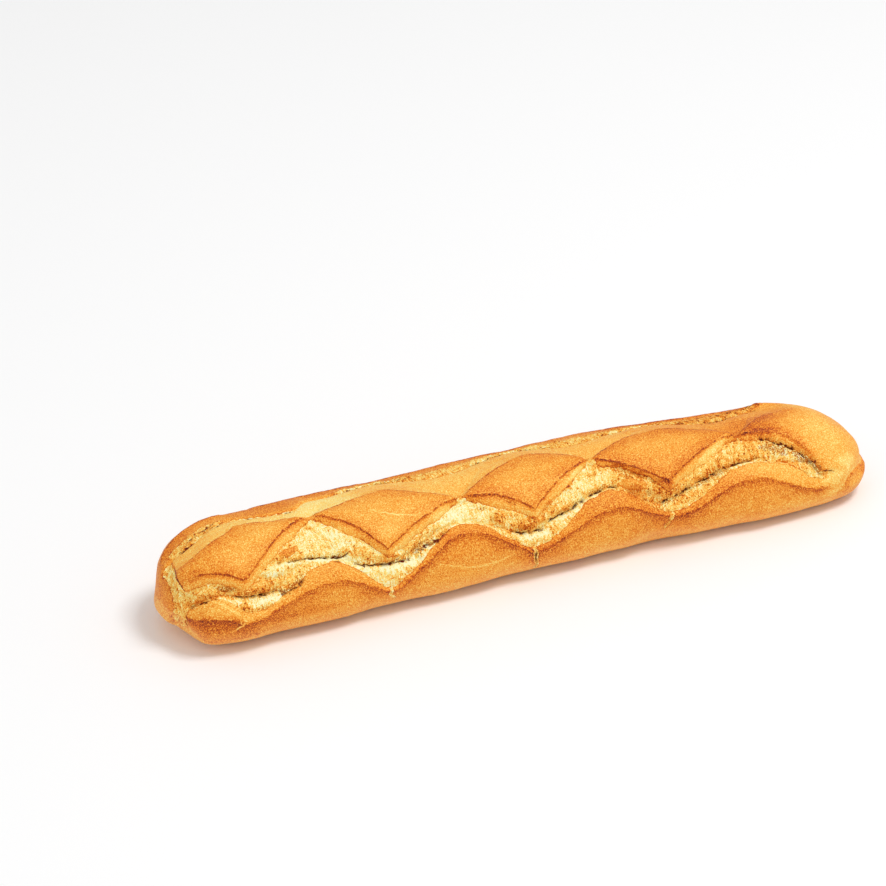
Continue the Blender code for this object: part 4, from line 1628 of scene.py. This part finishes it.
@dataclass(frozen=True)
class View:
    """The camera.

    Attributes:
        azimuth: Direction that the camera stands in, in degrees from -Y towards +X.
        elevation: Height above the floor, in degrees.
        distance: From the loaf's middle.
        lens: Focal length in millimetres on a 36 mm sensor.
        middle: The loaf's middle.
        offset: From there to the point that it looks at, to the right and up, in metres.
    """

    azimuth: float = -24.0
    elevation: float = 30.0
    distance: float = 2.2
    lens: float = 153.4
    middle: tuple[float, float, float] = (0.0, -0.002, 0.0273)
    offset: Pair = (-0.0439, 0.0393)


@dataclass(frozen=True)
class Lamp:
    """A soft lamp.

    Attributes:
        name: The lamp's name.
        place: Where it stands.
        size: Side of its square.
        power: In watts.
    """

    name: str
    place: tuple[float, float, float]
    size: float
    power: float


@dataclass(frozen=True)
class Studio:
    """Floor, lamps, sky light and camera.

    Attributes:
        lamps: The soft lamps.
        sky: Strength of the light from all round.
        floor_size: Side of the square floor.
        floor_colour: Linear red, green and blue, and alpha.
    """

    lamps: tuple[Lamp, ...] = (
        Lamp("key_lamp", (0.90, -0.65, 2.55), 0.90, 35.0),
        Lamp("front_lamp", (-3.4, -1.3, 1.3), 2.4, 16.5),
    )
    sky: float = 0.62
    floor_size: float = 4.0
    floor_colour: tuple[float, float, float, float] = (0.97, 0.97, 0.97, 1.0)

    def build(self, view: View) -> None:
        """Adds everything round the loaf.

        Args:
            view: Where the camera stands.
        """
        self.add_floor()
        for lamp in self.lamps:
            self.add_lamp(lamp)
        world = bpy.data.worlds.new("sky")
        world.use_nodes = True
        background = world.node_tree.nodes["Background"]
        background.inputs["Color"].default_value = (1.0, 1.0, 1.0, 1.0)
        background.inputs["Strength"].default_value = self.sky
        bpy.context.scene.world = world
        bpy.context.scene.view_settings.view_transform = "Standard"
        self.add_camera(view)

    def add_floor(self) -> None:
        """Adds the pale floor."""
        half = self.floor_size / 2
        corners = [(-half, -half, 0.0), (half, -half, 0.0), (half, half, 0.0), (-half, half, 0.0)]
        mesh = bpy.data.meshes.new("floor")
        mesh.from_pydata(corners, [], [(0, 1, 2, 3)])
        make = NodeMaker("pale_floor")
        make.shader.inputs["Base Color"].default_value = self.floor_colour
        make.shader.inputs["Roughness"].default_value = 0.9
        mesh.materials.append(make.material)
        floor = bpy.data.objects.new("floor", mesh)
        bpy.context.scene.collection.objects.link(floor)

    def add_lamp(self, lamp: Lamp) -> None:
        """Adds a square lamp that faces the loaf.

        Args:
            lamp: Its place, size and power.
        """
        light = bpy.data.lights.new(lamp.name, "AREA")
        light.size = lamp.size
        light.energy = lamp.power
        holder = bpy.data.objects.new(lamp.name, light)
        holder.location = lamp.place
        holder.rotation_euler = (-Vector(lamp.place)).to_track_quat("-Z", "Y").to_euler()
        bpy.context.scene.collection.objects.link(holder)

    def add_camera(self, view: View) -> None:
        """Adds the camera and makes it the scene's.

        Args:
            view: Where it stands.
        """
        azimuth, elevation = np.radians(view.azimuth), np.radians(view.elevation)
        level = np.cos(elevation)
        back = Vector((np.sin(azimuth) * level, -np.cos(azimuth) * level, np.sin(elevation)))
        right = (-back).cross(Vector((0.0, 0.0, 1.0))).normalized()
        up = right.cross(-back)
        camera = bpy.data.cameras.new("camera")
        camera.lens = view.lens
        camera.sensor_width = 36.0
        place = Vector(view.middle) + back * view.distance + right * view.offset[0] + up * view.offset[1]
        holder = bpy.data.objects.new("camera", camera)
        turn = back.to_track_quat("Z", "Y").to_matrix().to_4x4()
        holder.matrix_world = Matrix.Translation(place) @ turn
        bpy.context.scene.collection.objects.link(holder)
        bpy.context.scene.camera = holder


def main() -> None:
    """Builds the loaf's skin, its material and the studio."""
    logging.basicConfig(level=logging.INFO, format="%(name)s: %(message)s")
    skin = LoafSkin(Body(), Lattice(), Relief(), Browning()).build()
    skin.data.materials.append(crust_material(CrustFinish()))
    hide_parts("loaf")
    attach(skin, "root")
    LOG.info("skin has %d faces", len(skin.data.polygons))
    Studio().build(View())


if __name__ == "__main__":
    main()
